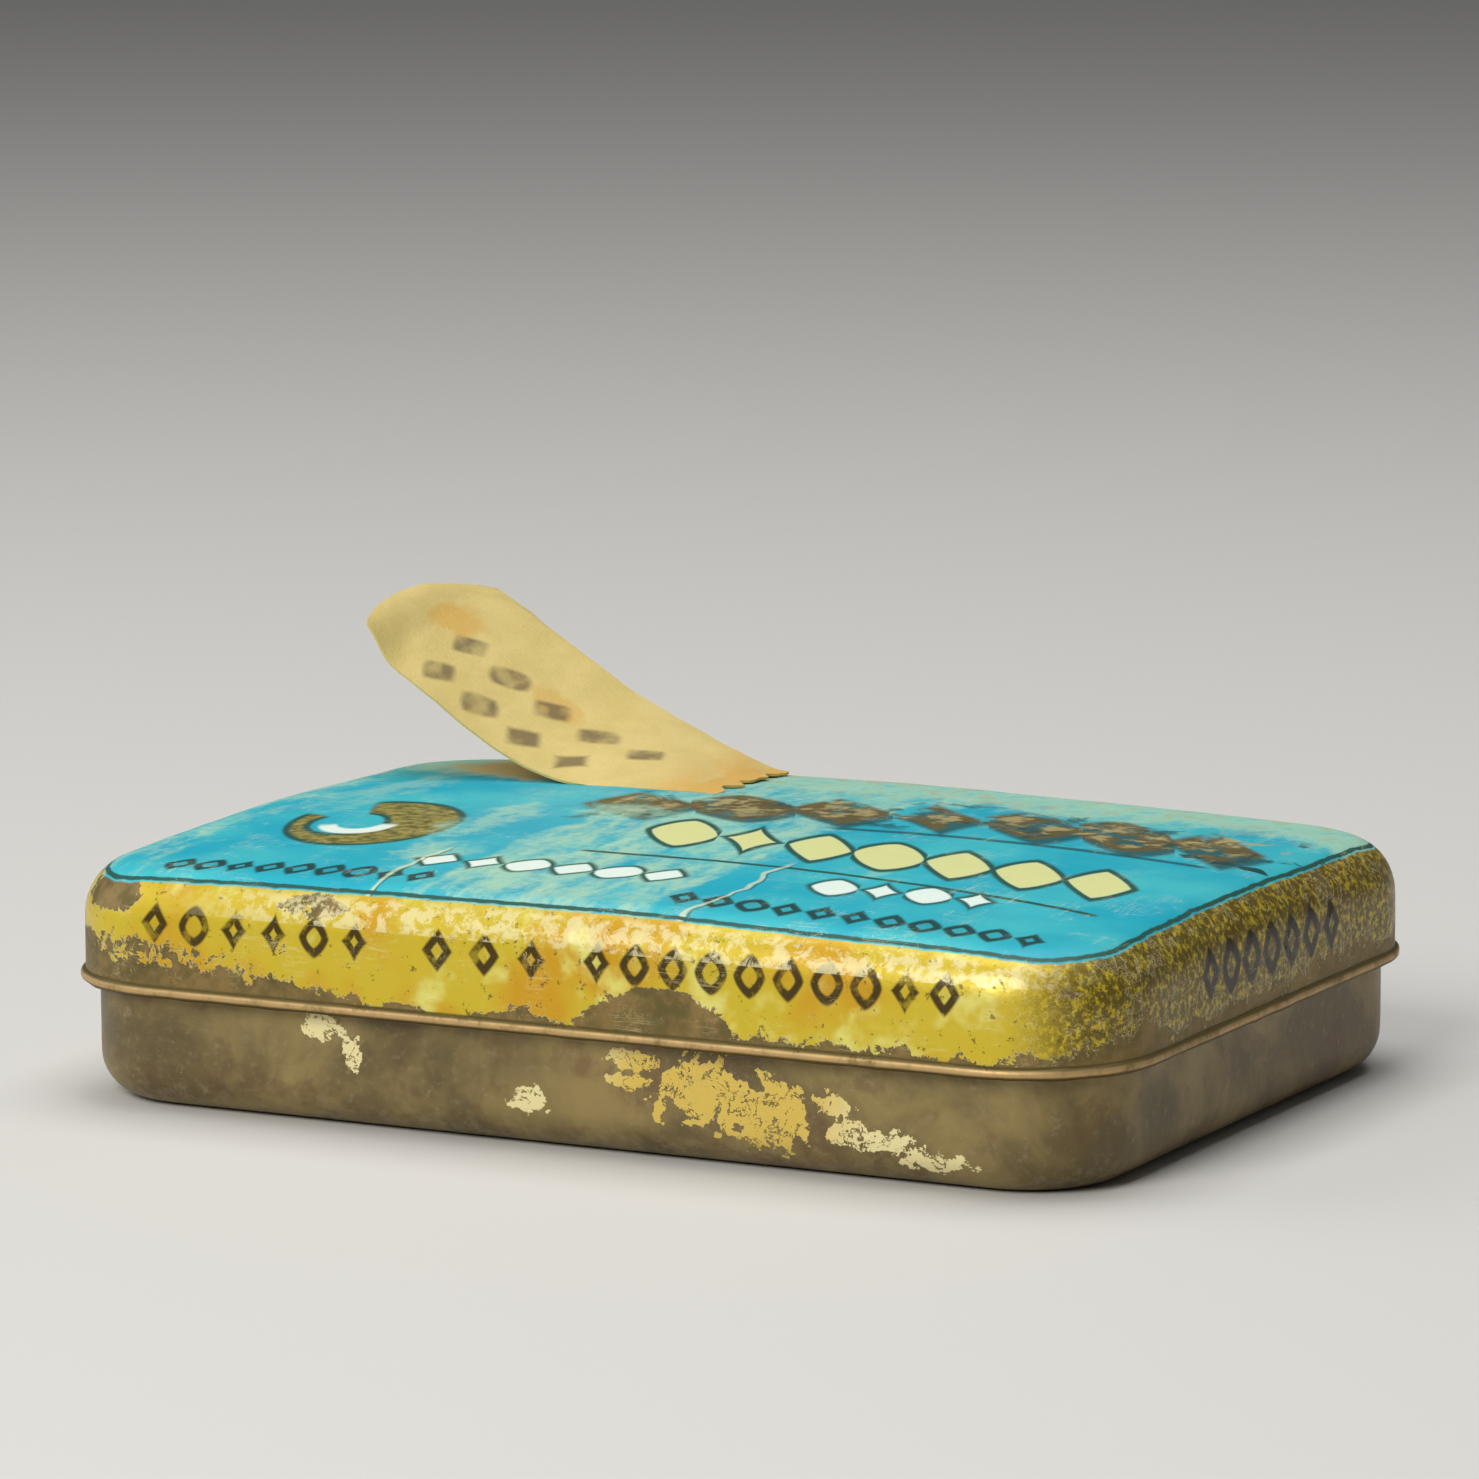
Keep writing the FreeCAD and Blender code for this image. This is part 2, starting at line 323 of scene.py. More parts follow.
@dataclass
class Pan:
    """Pressed sheet pan: a closed face, a rounded edge and straight walls to an open rim."""

    name: str
    length: float
    width: float
    corner_r: float
    edge_r: float
    edge_z: float
    rim_z: float
    sheet: float
    edge_steps: int = 10
    wall_steps: int = 8

    def build(self, faces: list[bpy.types.Material]) -> bpy.types.Object:
        """Press the pan.

        Args:
            faces: Materials of the outside and of the inside.

        Returns:
            The pan as an open skin with its faces looking outwards.
        """
        up = self.rim_z < self.edge_z
        sign = 1 if up else -1
        pan = rounded_plate(self.name, self.length, self.width, self.corner_r, self.edge_z, up)
        bpy.ops.mesh.select_mode(type="FACE")
        bpy.ops.mesh.select_all(action="SELECT")
        turn = math.pi / 2 / self.edge_steps
        for step in range(self.edge_steps):
            inward = math.cos(step * turn) - math.cos((step + 1) * turn)
            onward = math.sin((step + 1) * turn) - math.sin(step * turn)
            bpy.ops.mesh.inset(thickness=self.edge_r * inward, depth=self.edge_r * onward)
        bpy.ops.mesh.delete(type="ONLY_FACE")
        flat_z = self.edge_z + sign * self.edge_r
        choose(pan, Pick.EDGES, lambda p: all(abs(q.z - flat_z) < CLOSE for q in p))
        mesh = bmesh.from_edit_mesh(pan.data)
        corner = max((v for v in mesh.verts if v.select), key=lambda v: v.co.x + v.co.y)
        mesh.select_history.clear()
        mesh.select_history.add(corner)
        bmesh.update_edit_mesh(pan.data)
        bpy.ops.mesh.fill_grid(span=side_steps(self.width - 2 * self.corner_r) + ARC_STEPS)
        choose(pan, Pick.EDGES, lambda p: all(abs(q.z - self.edge_z) < CLOSE for q in p))
        step_z = (self.rim_z - self.edge_z) / self.wall_steps
        for _ in range(self.wall_steps):
            bpy.ops.mesh.extrude_region_move(TRANSFORM_OT_translate={"value": (0, 0, step_z)})
        bpy.ops.mesh.select_all(action="SELECT")
        bpy.ops.mesh.remove_doubles(threshold=CLOSE)
        bpy.ops.mesh.normals_make_consistent(inside=False)
        close_edit()
        flat = [f for f in pan.data.polygons if abs(f.center.z - flat_z) < 10 * CLOSE]
        if flat and flat[0].normal.z * sign < 0:
            open_edit(pan, Pick.FACES)
            bpy.ops.mesh.select_all(action="SELECT")
            bpy.ops.mesh.flip_normals()
            close_edit()
        for material in faces:
            pan.data.materials.append(material)
        return pan

    def thicken(self, pan: bpy.types.Object) -> None:
        """Give the skin its sheet thickness inwards, with its inner face in slot 1."""
        modify(pan, "SOLIDIFY", thickness=self.sheet, offset=-1.0, use_even_offset=True,
               material_offset=1, material_offset_rim=1)


def bend_with_lattice(piece: bpy.types.Object, size: Point, middle: Point,
                      counts: tuple[int, int, int],
                      target: Callable[[Vector, tuple[int, int, int]], Vector]) -> None:
    """Bend a piece with a lattice whose points are set by a rule.

    Args:
        piece: The piece to bend.
        size: Size of the lattice.
        middle: Middle of the lattice.
        counts: How many points it has along X, Y and Z.
        target: Gives a point's new place from its old place and its number along each axis.
    """
    cage = fresh(bpy.ops.object.add, "cage", type="LATTICE", location=middle)
    cage.scale = size
    cage.data.points_u, cage.data.points_v, cage.data.points_w = counts
    for axis in "uvw":
        setattr(cage.data, "interpolation_type_" + axis, "KEY_CATMULL_ROM")
    bpy.context.view_layer.update()
    along, across, _ = counts
    back = cage.matrix_world.inverted()
    for number, point in enumerate(cage.data.points):
        place = (number % along, number // along % across, number // (along * across))
        point.co_deform = back @ target(cage.matrix_world @ point.co, place)
    modify(piece, "LATTICE", object=cage)
    bpy.data.objects.remove(cage)


def ripple(piece: bpy.types.Object, name: str, cell: float, height: float, direction: str,
           group: str = "") -> None:
    """Push a piece's surface in and out by a soft cloud pattern.

    Args:
        piece: The piece to change.
        name: Name of the pattern.
        cell: Size of the pattern's waves.
        height: Full height of the waves.
        direction: Which way the surface moves.
        group: Vertex group that limits the change.
    """
    clouds = bpy.data.textures.new(name, "CLOUDS")
    clouds.noise_scale = cell
    clouds.noise_depth = 1
    modify(piece, "DISPLACE", texture=clouds, strength=height, mid_level=0.5,
           direction=direction, texture_coords="LOCAL", vertex_group=group)


def curled_tab(name: str, low_x: float, high_x: float, root: tuple[float, float],
               sheet: float, pin: Vector, from_above: bool) -> bpy.types.Object:
    """Make one hinge knuckle: a strip of sheet that leaves a wall and curls round the pin.

    Args:
        name: Name of the new piece.
        low_x: Left end.
        high_x: Right end.
        root: Y and Z of the place where the strip's middle starts.
        sheet: Thickness of the strip.
        pin: A point on the pin's axis.
        from_above: Whether the strip comes down to the pin instead of level below it.

    Returns:
        The knuckle as a mesh.
    """
    tab = fresh(bpy.ops.mesh.primitive_plane_add, name, size=1.0,
                location=((low_x + high_x) / 2, *root))
    if not from_above:
        tab.rotation_euler = (math.pi / 2, 0, 0)
    tab.scale = (high_x - low_x, sheet, 1)
    set_place(tab)
    open_edit(tab, Pick.FACES)
    bpy.ops.mesh.select_all(action="SELECT")
    move = (0, 0, pin.z - root[1]) if from_above else (0, pin.y - root[0], 0)
    bpy.ops.mesh.extrude_region_move(TRANSFORM_OT_translate={"value": move})
    turn = math.radians(CURL_FROM_ABOVE if from_above else CURL_FROM_BELOW)
    bpy.ops.mesh.spin(steps=CURL_STEPS, angle=turn, center=pin, axis=(1, 0, 0))
    bpy.ops.mesh.select_all(action="SELECT")
    bpy.ops.mesh.remove_doubles(threshold=CLOSE)
    bpy.ops.mesh.normals_make_consistent(inside=False)
    close_edit()
    smooth(tab, 50)
    return tab


# ---------------------------------------------------------------- node building


@dataclass(frozen=True)
class Value:
    """A number, place or colour that changes over a surface, and sums like a number."""

    graph: "Graph"
    socket: bpy.types.NodeSocket

    def __add__(self, other: object) -> "Value":
        """Return the sum."""
        return self.graph.math("ADD", self, other)

    def __sub__(self, other: object) -> "Value":
        """Return the difference."""
        return self.graph.math("SUBTRACT", self, other)

    def __rsub__(self, other: object) -> "Value":
        """Return a plain number less this."""
        return self.graph.math("SUBTRACT", other, self)

    def __mul__(self, other: object) -> "Value":
        """Return the product."""
        return self.graph.math("MULTIPLY", self, other)

    def __truediv__(self, other: object) -> "Value":
        """Return the quotient."""
        return self.graph.math("DIVIDE", self, other)

    def __abs__(self) -> "Value":
        """Return the size without its sign."""
        return self.graph.math("ABSOLUTE", self)

    __radd__ = __add__
    __rmul__ = __mul__


@dataclass(frozen=True)
class Graph:
    """Adds nodes to one node tree and wires them."""

    tree: bpy.types.NodeTree

    def put(self, kind: str, *inputs: object, **settings: object) -> bpy.types.Node:
        """Add a node, wire or set its first inputs and its settings.

        Args:
            kind: Blender's name for the node, without its ShaderNode prefix.
            inputs: Values for its inputs in order, None to leave one alone.
            settings: Properties of the node.

        Returns:
            The new node.
        """
        node = self.tree.nodes.new("ShaderNode" + kind)
        for name, value in settings.items():
            setattr(node, name, value)
        for socket, value in zip(node.inputs, inputs):
            if value is not None:
                self.feed(socket, value)
        return node

    def feed(self, socket: bpy.types.NodeSocket, value: object) -> None:
        """Wire a socket to a value, or set it.

        Args:
            socket: The socket.
            value: A Value, or a plain number, place or colour.
        """
        if isinstance(value, Value):
            self.tree.links.new(value.socket, socket)
        elif socket.type == "RGBA":
            socket.default_value = (*value, 1.0)
        else:
            socket.default_value = value

    def out(self, node: bpy.types.Node, name: int | str = 0) -> Value:
        """Return one output of a node."""
        return Value(self, node.outputs[name])

    def math(self, operation: str, *inputs: object) -> Value:
        """Return the result of a Math node."""
        return self.out(self.put("Math", *inputs, operation=operation))

    def vector(self, operation: str, *inputs: object) -> bpy.types.Node:
        """Return a new Vector Math node."""
        return self.put("VectorMath", *inputs, operation=operation)

    def most(self, *values: object) -> Value:
        """Return the largest of several values."""
        return reduce(lambda one, other: self.math("MAXIMUM", one, other), values)

    def above(self, value: Value, level: float) -> Value:
        """Return 1 where a value is over the level and 0 elsewhere."""
        return self.math("GREATER_THAN", value, level)

    def step(self, value: Value, low: object, high: object) -> Value:
        """Return 0 before low, 1 past high and a smooth change between them."""
        return self.out(self.put("MapRange", value, low, high, interpolation_type="SMOOTHSTEP"))

    def near(self, value: Value, middle: float, half: float, soft: float) -> Value:
        """Return 1 within half of the middle, falling softly to 0."""
        return self.step(abs(value - middle), half + soft, half)

    def mix(self, share: object, first: object, second: object) -> Value:
        """Blend two colours.

        Args:
            share: How much of the second colour shows.
            first: The colour below.
            second: The colour above.

        Returns:
            The blended colour.
        """
        node = self.put("Mix", data_type="RGBA")
        for number, value in ((0, share), (6, first), (7, second)):
            self.feed(node.inputs[number], value)
        return self.out(node, 2)

    def mapped(self, place: Value, kind: str, **values: Point) -> Value:
        """Move, turn or scale a place.

        Args:
            place: The place.
            kind: Which way the Mapping node works.
            values: Its named inputs.

        Returns:
            The new place.
        """
        node = self.put("Mapping", place, vector_type=kind)
        for name, value in values.items():
            node.inputs[name].default_value = value
        return self.out(node)

    def noise(self, place: Value, scale: object, detail: float = 3.0, rough: float = 0.55,
              bent: float = 0.0, stretch: Point = (1.0, 1.0, 1.0),
              shift: Point = (0.0, 0.0, 0.0)) -> Value:
        """Return a cloud pattern.

        Args:
            place: Where to read it, in millimetres.
            scale: Waves to a millimetre.
            detail: Layers of finer waves.
            rough: Strength of the finer waves.
            bent: How far the pattern is bent by itself.
            stretch: How close the waves are along each axis.
            shift: Part of the pattern to use.

        Returns:
            The pattern, about 0 to 1.
        """
        if (*stretch, *shift) != (1.0, 1.0, 1.0, 0.0, 0.0, 0.0):
            place = self.mapped(place, "POINT", Location=shift, Scale=stretch)
        return self.out(self.put("TexNoise", place, None, scale, detail, rough, 2.0, None, None,
                                 bent))

    def use(self, group: bpy.types.NodeTree, **values: object) -> dict[str, Value]:
        """Place a node group.

        Args:
            group: The group.
            values: Its inputs, with spaces written as underscores.

        Returns:
            Its outputs by name.
        """
        node = self.put("Group", node_tree=group)
        for name, value in values.items():
            self.feed(node.inputs[name.replace("_", " ")], value)
        return {socket.name: Value(self, socket) for socket in node.outputs}

    def scratches(self, place: Value, amount: float) -> Value:
        """Return the shared scratches in one amount."""
        return self.use(scratch_pattern(), Place=place, Amount=amount)["Mask"]

    def split(self, place: Value) -> list[Value]:
        """Return a place's X, Y and Z."""
        return [Value(self, socket) for socket in self.put("SeparateXYZ", place).outputs]

    def flat(self, first: Value, second: Value) -> Value:
        """Join two values into a flat place."""
        return self.out(self.put("CombineXYZ", first, second))

    def turned(self, place: Value, middle: tuple[float, float], degrees: float) -> Value:
        """Return the place measured from a middle point along turned axes."""
        return self.mapped(place, "TEXTURE", Location=(*middle, 0),
                           Rotation=(0, 0, math.radians(degrees)))


def start_group(name: str, **inputs: object) -> tuple[Graph, dict[str, Value]]:
    """Start a shader node group.

    Args:
        name: Name of the group.
        inputs: Default value of each input, where a tuple makes a vector.

    Returns:
        The group's graph and its inputs by name.
    """
    tree = bpy.data.node_groups.new(name, "ShaderNodeTree")
    for label, value in inputs.items():
        kind = "NodeSocketVector" if isinstance(value, tuple) else "NodeSocketFloat"
        socket = tree.interface.new_socket(name=label.replace("_", " "), in_out="INPUT",
                                           socket_type=kind)
        socket.default_value = value
    source = tree.nodes.new("NodeGroupInput")
    g = Graph(tree)
    return g, {label: Value(g, socket) for label, socket in zip(inputs, source.outputs)}


def end_group(g: Graph, **outputs: Value) -> bpy.types.NodeTree:
    """Give a node group its value outputs.

    Args:
        g: The group's graph.
        outputs: The value of each output.

    Returns:
        The finished group.
    """
    for label in outputs:
        g.tree.interface.new_socket(name=label, in_out="OUTPUT", socket_type="NodeSocketFloat")
    result = g.tree.nodes.new("NodeGroupOutput")
    for label, value in outputs.items():
        g.feed(result.inputs[label], value)
    return g.tree


@cache
def panel_pattern() -> bpy.types.NodeTree:
    """Build the group for the distance to a rounded rectangle, which is negative inside it.

    Returns:
        The group.
    """
    g, given = start_group("rounded_panel", Place=ORIGIN, Half_Length=10.0, Half_Width=10.0,
                           Radius=1.0)
    sides = [abs(part) - (given[half] - given["Radius"])
             for part, half in zip(g.split(given["Place"]), ("Half_Length", "Half_Width"))]
    out_x, out_y = (g.most(side, 0.0) for side in sides)
    outside = g.math("SQRT", out_x * out_x + out_y * out_y)
    inside = g.math("MINIMUM", g.most(*sides), 0.0)
    return end_group(g, Distance=outside + inside - given["Radius"])


@cache
def mark_pattern() -> bpy.types.NodeTree:
    """Build the group that prints a row of outlined marks, from stars to round lozenges.

    Returns:
        The group.
    """
    g, given = start_group("mark_row", Place=ORIGIN, Pitch=2.0, Count=5.0, Half_Width=0.6,
                           Half_Height=1.0, Slant=0.0, Hollow=0.0, Seed=0.0, Soft=0.12)
    x, across, _ = g.split(given["Place"])
    along = x - across * given["Slant"]
    last = given["Count"] - 1.0
    middle = last * 0.5
    nearest = g.math("ROUND", along / given["Pitch"] + middle)
    number = g.most(g.math("MINIMUM", nearest, last), 0.0)
    start = (number - middle) * given["Pitch"]
    chance = g.out(g.put("TexWhiteNoise", None, number + given["Seed"], noise_dimensions="1D"),
                   "Value")
    side = abs(along - start) / (given["Half_Width"] * (chance * 0.2 + 0.9))
    rise = abs(across) / given["Half_Height"]
    power = chance * 0.75 + 0.8
    shape = g.math("POWER", side, power) + g.math("POWER", rise, power)
    fill = g.step(shape, given["Soft"] + 1.0, 1.0 - given["Soft"])
    core = g.step(shape, 0.80, 0.80 - given["Soft"])
    hole = g.step(shape, 0.46, 0.30)
    return end_group(g, Fill=g.most(fill - hole * given["Hollow"], 0.0),
                     Outline=g.most(fill - core, 0.0), Core=core)


@cache
def flaking_pattern() -> bpy.types.NodeTree:
    """Build the group for a coat that comes off in ragged flakes where Worn is high.

    Returns:
        The group.
    """
    g, given = start_group("flaking", Place=ORIGIN, Worn=0.3, Lip=0.05)
    broad = g.noise(given["Place"], 0.45, 2.0, 0.5)
    ragged = g.noise(given["Place"], 1.9, 6.0, 0.74, 0.35)
    over = broad * 0.44 + ragged * 0.56 - (0.78 - given["Worn"] * 0.56)
    bare = g.step(over, -0.004, 0.006)
    lip_start = given["Lip"] * -1.0
    lip = g.step(over, lip_start, lip_start * 0.5) * (1.0 - bare)
    return end_group(g, Bare=bare, Lip=lip)


@cache
def spot_pattern() -> bpy.types.NodeTree:
    """Build the group for a soft oval patch whose border is made ragged by noise.

    Returns:
        The group.
    """
    g, given = start_group("soft_spot", Place=ORIGIN, Middle=ORIGIN, Size=(1.0, 1.0, 1.0),
                           Ragged=0.3, Grain=0.9)
    away = g.out(g.vector("SUBTRACT", given["Place"], given["Middle"]))
    away = g.out(g.vector("DIVIDE", away, given["Size"]))
    length = g.out(g.vector("LENGTH", away), "Value")
    rough = g.noise(given["Place"], given["Grain"], 4.0, 0.6)
    return end_group(g, Mask=g.step(length + (rough - 0.5) * given["Ragged"], 1.0, 0.55))


@cache
def scratch_pattern() -> bpy.types.NodeTree:
    """Build the group for fine scratches along and across.

    Returns:
        The group.
    """
    g, given = start_group("scratches", Place=ORIGIN, Amount=0.5)
    lines = [g.near(g.noise(given["Place"], 1.6, 2.0, 0.5, 0.6, stretch, shift), 0.5, 0.004, 0.012)
             for stretch, shift in (((0.12, 2.6, 2.6), (0.0, 1.7, 0.4)),
                                    ((2.2, 0.16, 2.2), (3.1, 1.7, 0.4)))]
    thin = g.step(g.noise(given["Place"], 0.5, 2.0), 0.5, 0.62)
    return end_group(g, Mask=g.most(*lines) * thin * given["Amount"])


@dataclass(frozen=True)
class Patch:
    """Soft oval patch with a ragged border, in millimetres."""

    middle: Point
    size: Point
    amount: float = 1.0

    def lay(self, g: Graph, place: Value, ragged: float, grain: float = 0.9) -> Value:
        """Place the patch in a material.

        Args:
            g: The material's graph.
            place: Place in millimetres.
            ragged: How ragged its border is.
            grain: Waves of the border to a millimetre.

        Returns:
            The patch's mask.
        """
        return g.use(spot_pattern(), Place=place, Middle=self.middle, Size=self.size,
                     Ragged=ragged, Grain=grain)["Mask"] * self.amount


@dataclass(frozen=True)
class MarkRow:
    """One printed row of generic marks."""

    middle: tuple[float, float]
    degrees: float
    pitch: float
    count: int
    half_width: float
    half_height: float
    slant: float = 0.0
    hollow: float = 0.0
    seed: float = 0.0
    soft: float = 0.12

    def lay(self, g: Graph, place: Value) -> dict[str, Value]:
        """Place the row in a material.

        Args:
            g: The material's graph.
            place: The flat place, in millimetres.

        Returns:
            The row's Fill, Outline and Core masks.
        """
        return g.use(mark_pattern(), Place=g.turned(place, self.middle, self.degrees),
                     Pitch=self.pitch, Count=float(self.count), Half_Width=self.half_width,
                     Half_Height=self.half_height, Slant=self.slant, Hollow=self.hollow,
                     Seed=self.seed, Soft=self.soft)


@dataclass
class Coat:
    """One new material with its graph, its shader and its place in millimetres."""

    name: str
    material: bpy.types.Material = field(init=False)
    graph: Graph = field(init=False)
    shader: bpy.types.Node = field(init=False)
    place: Value = field(init=False)

    def __post_init__(self) -> None:
        """Start the material."""
        self.material = bpy.data.materials.new(self.name)
        self.material.use_nodes = True
        self.graph = Graph(self.material.node_tree)
        self.shader = self.material.node_tree.nodes["Principled BSDF"]
        scaled = self.graph.vector("SCALE", self.coordinate("Object"))
        scaled.inputs["Scale"].default_value = 1 / MM
        self.place = self.graph.out(scaled)

    def coordinate(self, name: str) -> Value:
        """Return one of the piece's own coordinates."""
        return self.graph.out(self.graph.put("TexCoord"), name)

    def wear(self, **values: object) -> None:
        """Feed or set the shader's named inputs, with spaces written as underscores."""
        for name, value in values.items():
            self.graph.feed(self.shader.inputs[name.replace("_", " ")], value)

    def bump(self, height: Value, distance: float) -> None:
        """Feed a height into the shader's normal.

        Args:
            height: The height pattern.
            distance: Its full height in metres.
        """
        node = self.graph.put("Bump")
        node.inputs["Strength"].default_value = 1.0
        node.inputs["Distance"].default_value = distance
        self.graph.feed(node.inputs["Height"], height)
        self.wear(Normal=self.graph.out(node))


# ---------------------------------------------------------------- finishes


@dataclass(frozen=True)
class PrintedLid:
    """Varnished print on tinplate: a blue panel on the top and a yellow skirt, both worn."""

    blue: Colour = rgb(14, 162, 184)
    blue_light: Colour = rgb(60, 182, 190)
    washed: Colour = rgb(160, 204, 178)
    line: Colour = rgb(30, 80, 70)
    yellow: Colour = rgb(204, 180, 46)
    amber: Colour = rgb(202, 154, 28)
    lemon: Colour = rgb(222, 214, 112)
    brass: Colour = rgb(88, 72, 32)
    bare: Colour = rgb(106, 94, 54)
    bare_pink: Colour = rgb(144, 120, 74)
    # Painted highlight along the middle of the rolled rim bead.
    rim_highlight: Colour = rgb(194, 162, 112)
    cream: Colour = rgb(234, 226, 176)
    ink: Colour = rgb(70, 54, 10)
    # Darker ink for the skirt's right end: the real print with painted shade laid over it.
    shaded_side_ink: Colour = rgb(34, 26, 8)
    green_ink: Colour = rgb(18, 66, 66)
    brown: Colour = rgb(94, 82, 44)
    scroll_dark: Colour = rgb(90, 84, 38)
    scroll_light: Colour = rgb(152, 142, 70)
    tan: Colour = rgb(172, 158, 106)
    gum: Colour = rgb(206, 176, 100)
    straw: Colour = rgb(212, 214, 146)
    white: Colour = rgb(222, 236, 226)
    half_length: float = 22.5
    half_width: float = 16.0
    panel_inset: float = 0.9
    panel_r: float = 3.7
    panel_z: float = 7.6
    # Creases, drawn only as painted highlight and painted shade: where each crosses, its lean, and
    # where it ends.
    creases: tuple[Point, ...] = ((-9.0, 0.05, -8.0), (4.6, 0.04, -6.0))
    gum_patch: Patch = Patch((-13.6, 11.4, 0.0), (6.4, 4.4, 1.0), 0.9)
    smears: tuple[Patch, ...] = (
        Patch((-10.2, -2.0, 0.0), (1.6, 5.2, 1.0), 0.65),
        Patch((-8.8, -8.6, 0.0), (2.0, 2.6, 1.0), 0.70),
        Patch((-2.2, -5.0, 0.0), (1.3, 5.6, 1.0), 0.75),
        Patch((-3.6, -12.4, 0.0), (3.2, 1.8, 1.0), 0.50),
        Patch((0.8, -10.0, 0.0), (1.0, 2.6, 1.0), 0.50),
        Patch((-17.5, 3.0, 0.0), (1.6, 6.0, 1.0), 0.45),
        Patch((-6.0, 1.5, 0.0), (2.6, 2.0, 1.0), 0.60),
        Patch((8.8, -4.6, 0.0), (0.5, 3.4, 1.0), 0.40),
    )
    skirt_patches: tuple[Patch, ...] = (
        Patch((4.6, -16.0, 5.7), (3.4, 3.0, 1.35), 0.62),
        Patch((-22.0, -12.0, 5.2), (4.0, 6.0, 1.6), 0.45),
        Patch((-20.0, -15.5, 8.4), (2.6, 2.6, 0.9), 0.40),
        Patch((-10.5, -16.0, 8.6), (2.2, 2.0, 0.6), 0.30),
        Patch((13.0, -16.0, 6.6), (5.0, 3.0, 1.0), -0.42),
        Patch((-5.0, -16.0, 6.4), (5.2, 3.0, 1.6), -0.30),
    )
    ribbon_row: MarkRow = MarkRow((0.0, 0.0), 0.0, 4.0, 7, 2.3, 3.1, -0.35, seed=53.0, soft=0.16)
    long_row: MarkRow = MarkRow((7.7, -2.8), -5.2, 3.1, 7, 1.72, 2.9, -0.42, seed=3.0, soft=0.10)
    white_rows: tuple[MarkRow, ...] = (
        MarkRow((-3.2, -9.9), 3.0, 1.9, 6, 1.05, 1.35, 0.1, seed=11.0, soft=0.2),
        MarkRow((11.3, -8.8), 4.0, 1.9, 4, 1.1, 1.6, -0.2, seed=17.0, soft=0.2),
    )
    dark_rows: tuple[MarkRow, ...] = (
        MarkRow((11.3, -13.0), -1.6, 1.45, 11, 0.72, 1.0, -0.2, 0.8, 23.0, 0.2),
        MarkRow((-12.4, -13.1), 2.2, 1.3, 9, 0.64, 0.95, 0.1, 0.8, 31.0, 0.2),
        MarkRow((19.0, 3.1), -18.0, 1.6, 3, 0.7, 0.4, 0.0, 0.0, 41.0, 0.2),
    )
    front_rows: tuple[MarkRow, ...] = (
        MarkRow((-12.8, 7.45), 0.0, 1.76, 6, 0.62, 0.78, 0.0, 0.9, 61.0, 0.14),
        MarkRow((-2.8, 7.40), 0.0, 2.02, 3, 0.66, 0.80, 0.0, 0.9, 67.0, 0.14),
        MarkRow((9.2, 7.52), 0.0, 1.60, 10, 0.62, 0.82, 0.0, 0.9, 71.0, 0.14),
    )
    side_row: MarkRow = MarkRow((0.0, 7.05), 0.0, 1.9, 7, 0.80, 1.05, 0.0, 0.9, 83.0, 0.16)
    back_row: MarkRow = MarkRow((0.0, 7.3), 0.0, 1.8, 15, 0.62, 0.8, 0.0, 0.9, 97.0, 0.14)

    def top_print(self, g: Graph, place: Value) -> Value:
        """Print the panel: its worn ground first, then its generic ornament, then each crease as a
        painted highlight line beside a painted shade line.

        Args:
            g: The material's graph.
            place: Place in millimetres.

        Returns:
            The panel's colour.
        """
        x, y, _ = g.split(place)
        flat = g.flat(x, y)
        cloud = g.noise(flat, 0.16, 3.0, 0.5)
        colour = g.mix(g.step(cloud, 0.35, 0.7), self.blue, self.blue_light)
        streak = g.noise(flat, 0.7, 4.0, 0.65, 0.3, (1.0, 0.35, 1.0))
        grime = streak * 0.7 + g.noise(flat, 2.2, 4.0, 0.7, 0.2) * 0.3
        back = g.step(y, 4.0, 13.5)
        worn = g.most(back * 0.52, g.near(x, -1.6, 4.6, 1.6) * 0.34, g.step(x, -15.0, -21.0) * 0.30)
        colour = g.mix(g.step(grime - (0.80 - worn), -0.10, 0.14) * 0.85, colour, self.washed)
        colour = self.ribbon(g, flat, colour)
        colour = self.scroll(g, flat, colour)
        mottle = g.noise(flat, 0.8, 4.0, 0.65, 0.3, shift=(9.0, 2.0, 0.0))
        colour = g.mix(back * g.step(mottle, 0.52, 0.62) * 0.45, colour, self.tan)
        colour = g.mix(back * g.step(mottle, 0.44, 0.36) * 0.55, colour, self.blue_light)
        for smear in self.smears:
            mask = smear.lay(g, flat, 1.5) * g.step(grime, 0.36, 0.56)
            colour = g.mix(mask, colour, self.washed)
        colour = g.mix(self.gum_patch.lay(g, flat, 0.9), colour, self.gum)
        colour = self.outlined(g, flat, colour, self.long_row, self.straw)
        rule_x, rule_y, _ = g.split(g.turned(flat, (7.8, -6.9), -5.0))
        rule = g.near(rule_y + rule_x * rule_x * 0.006, 0.1, 0.10, 0.12)
        colour = g.mix(rule * g.near(rule_x, 0.0, 11.2, 0.4), colour, self.line)
        for row in self.white_rows:
            colour = self.outlined(g, flat, colour, row, self.white)
        for row in self.dark_rows:
            colour = g.mix(row.lay(g, flat)["Fill"], colour, self.green_ink)
        # Each crease is a pale painted highlight line beside a dark painted shade line; the mesh
        # itself has no crease.
        for middle, lean, far in self.creases:
            across = x + y * lean + (cloud - 0.5) * 4.0
            short = g.step(y, far + 1.0, far - 1.0)
            colour = g.mix(g.near(across, middle, 0.04, 0.14) * short * 0.55, colour, self.cream)
            colour = g.mix(g.near(across, middle + 0.2, 0.02, 0.07) * short * 0.7, colour,
                           self.line)
        return colour

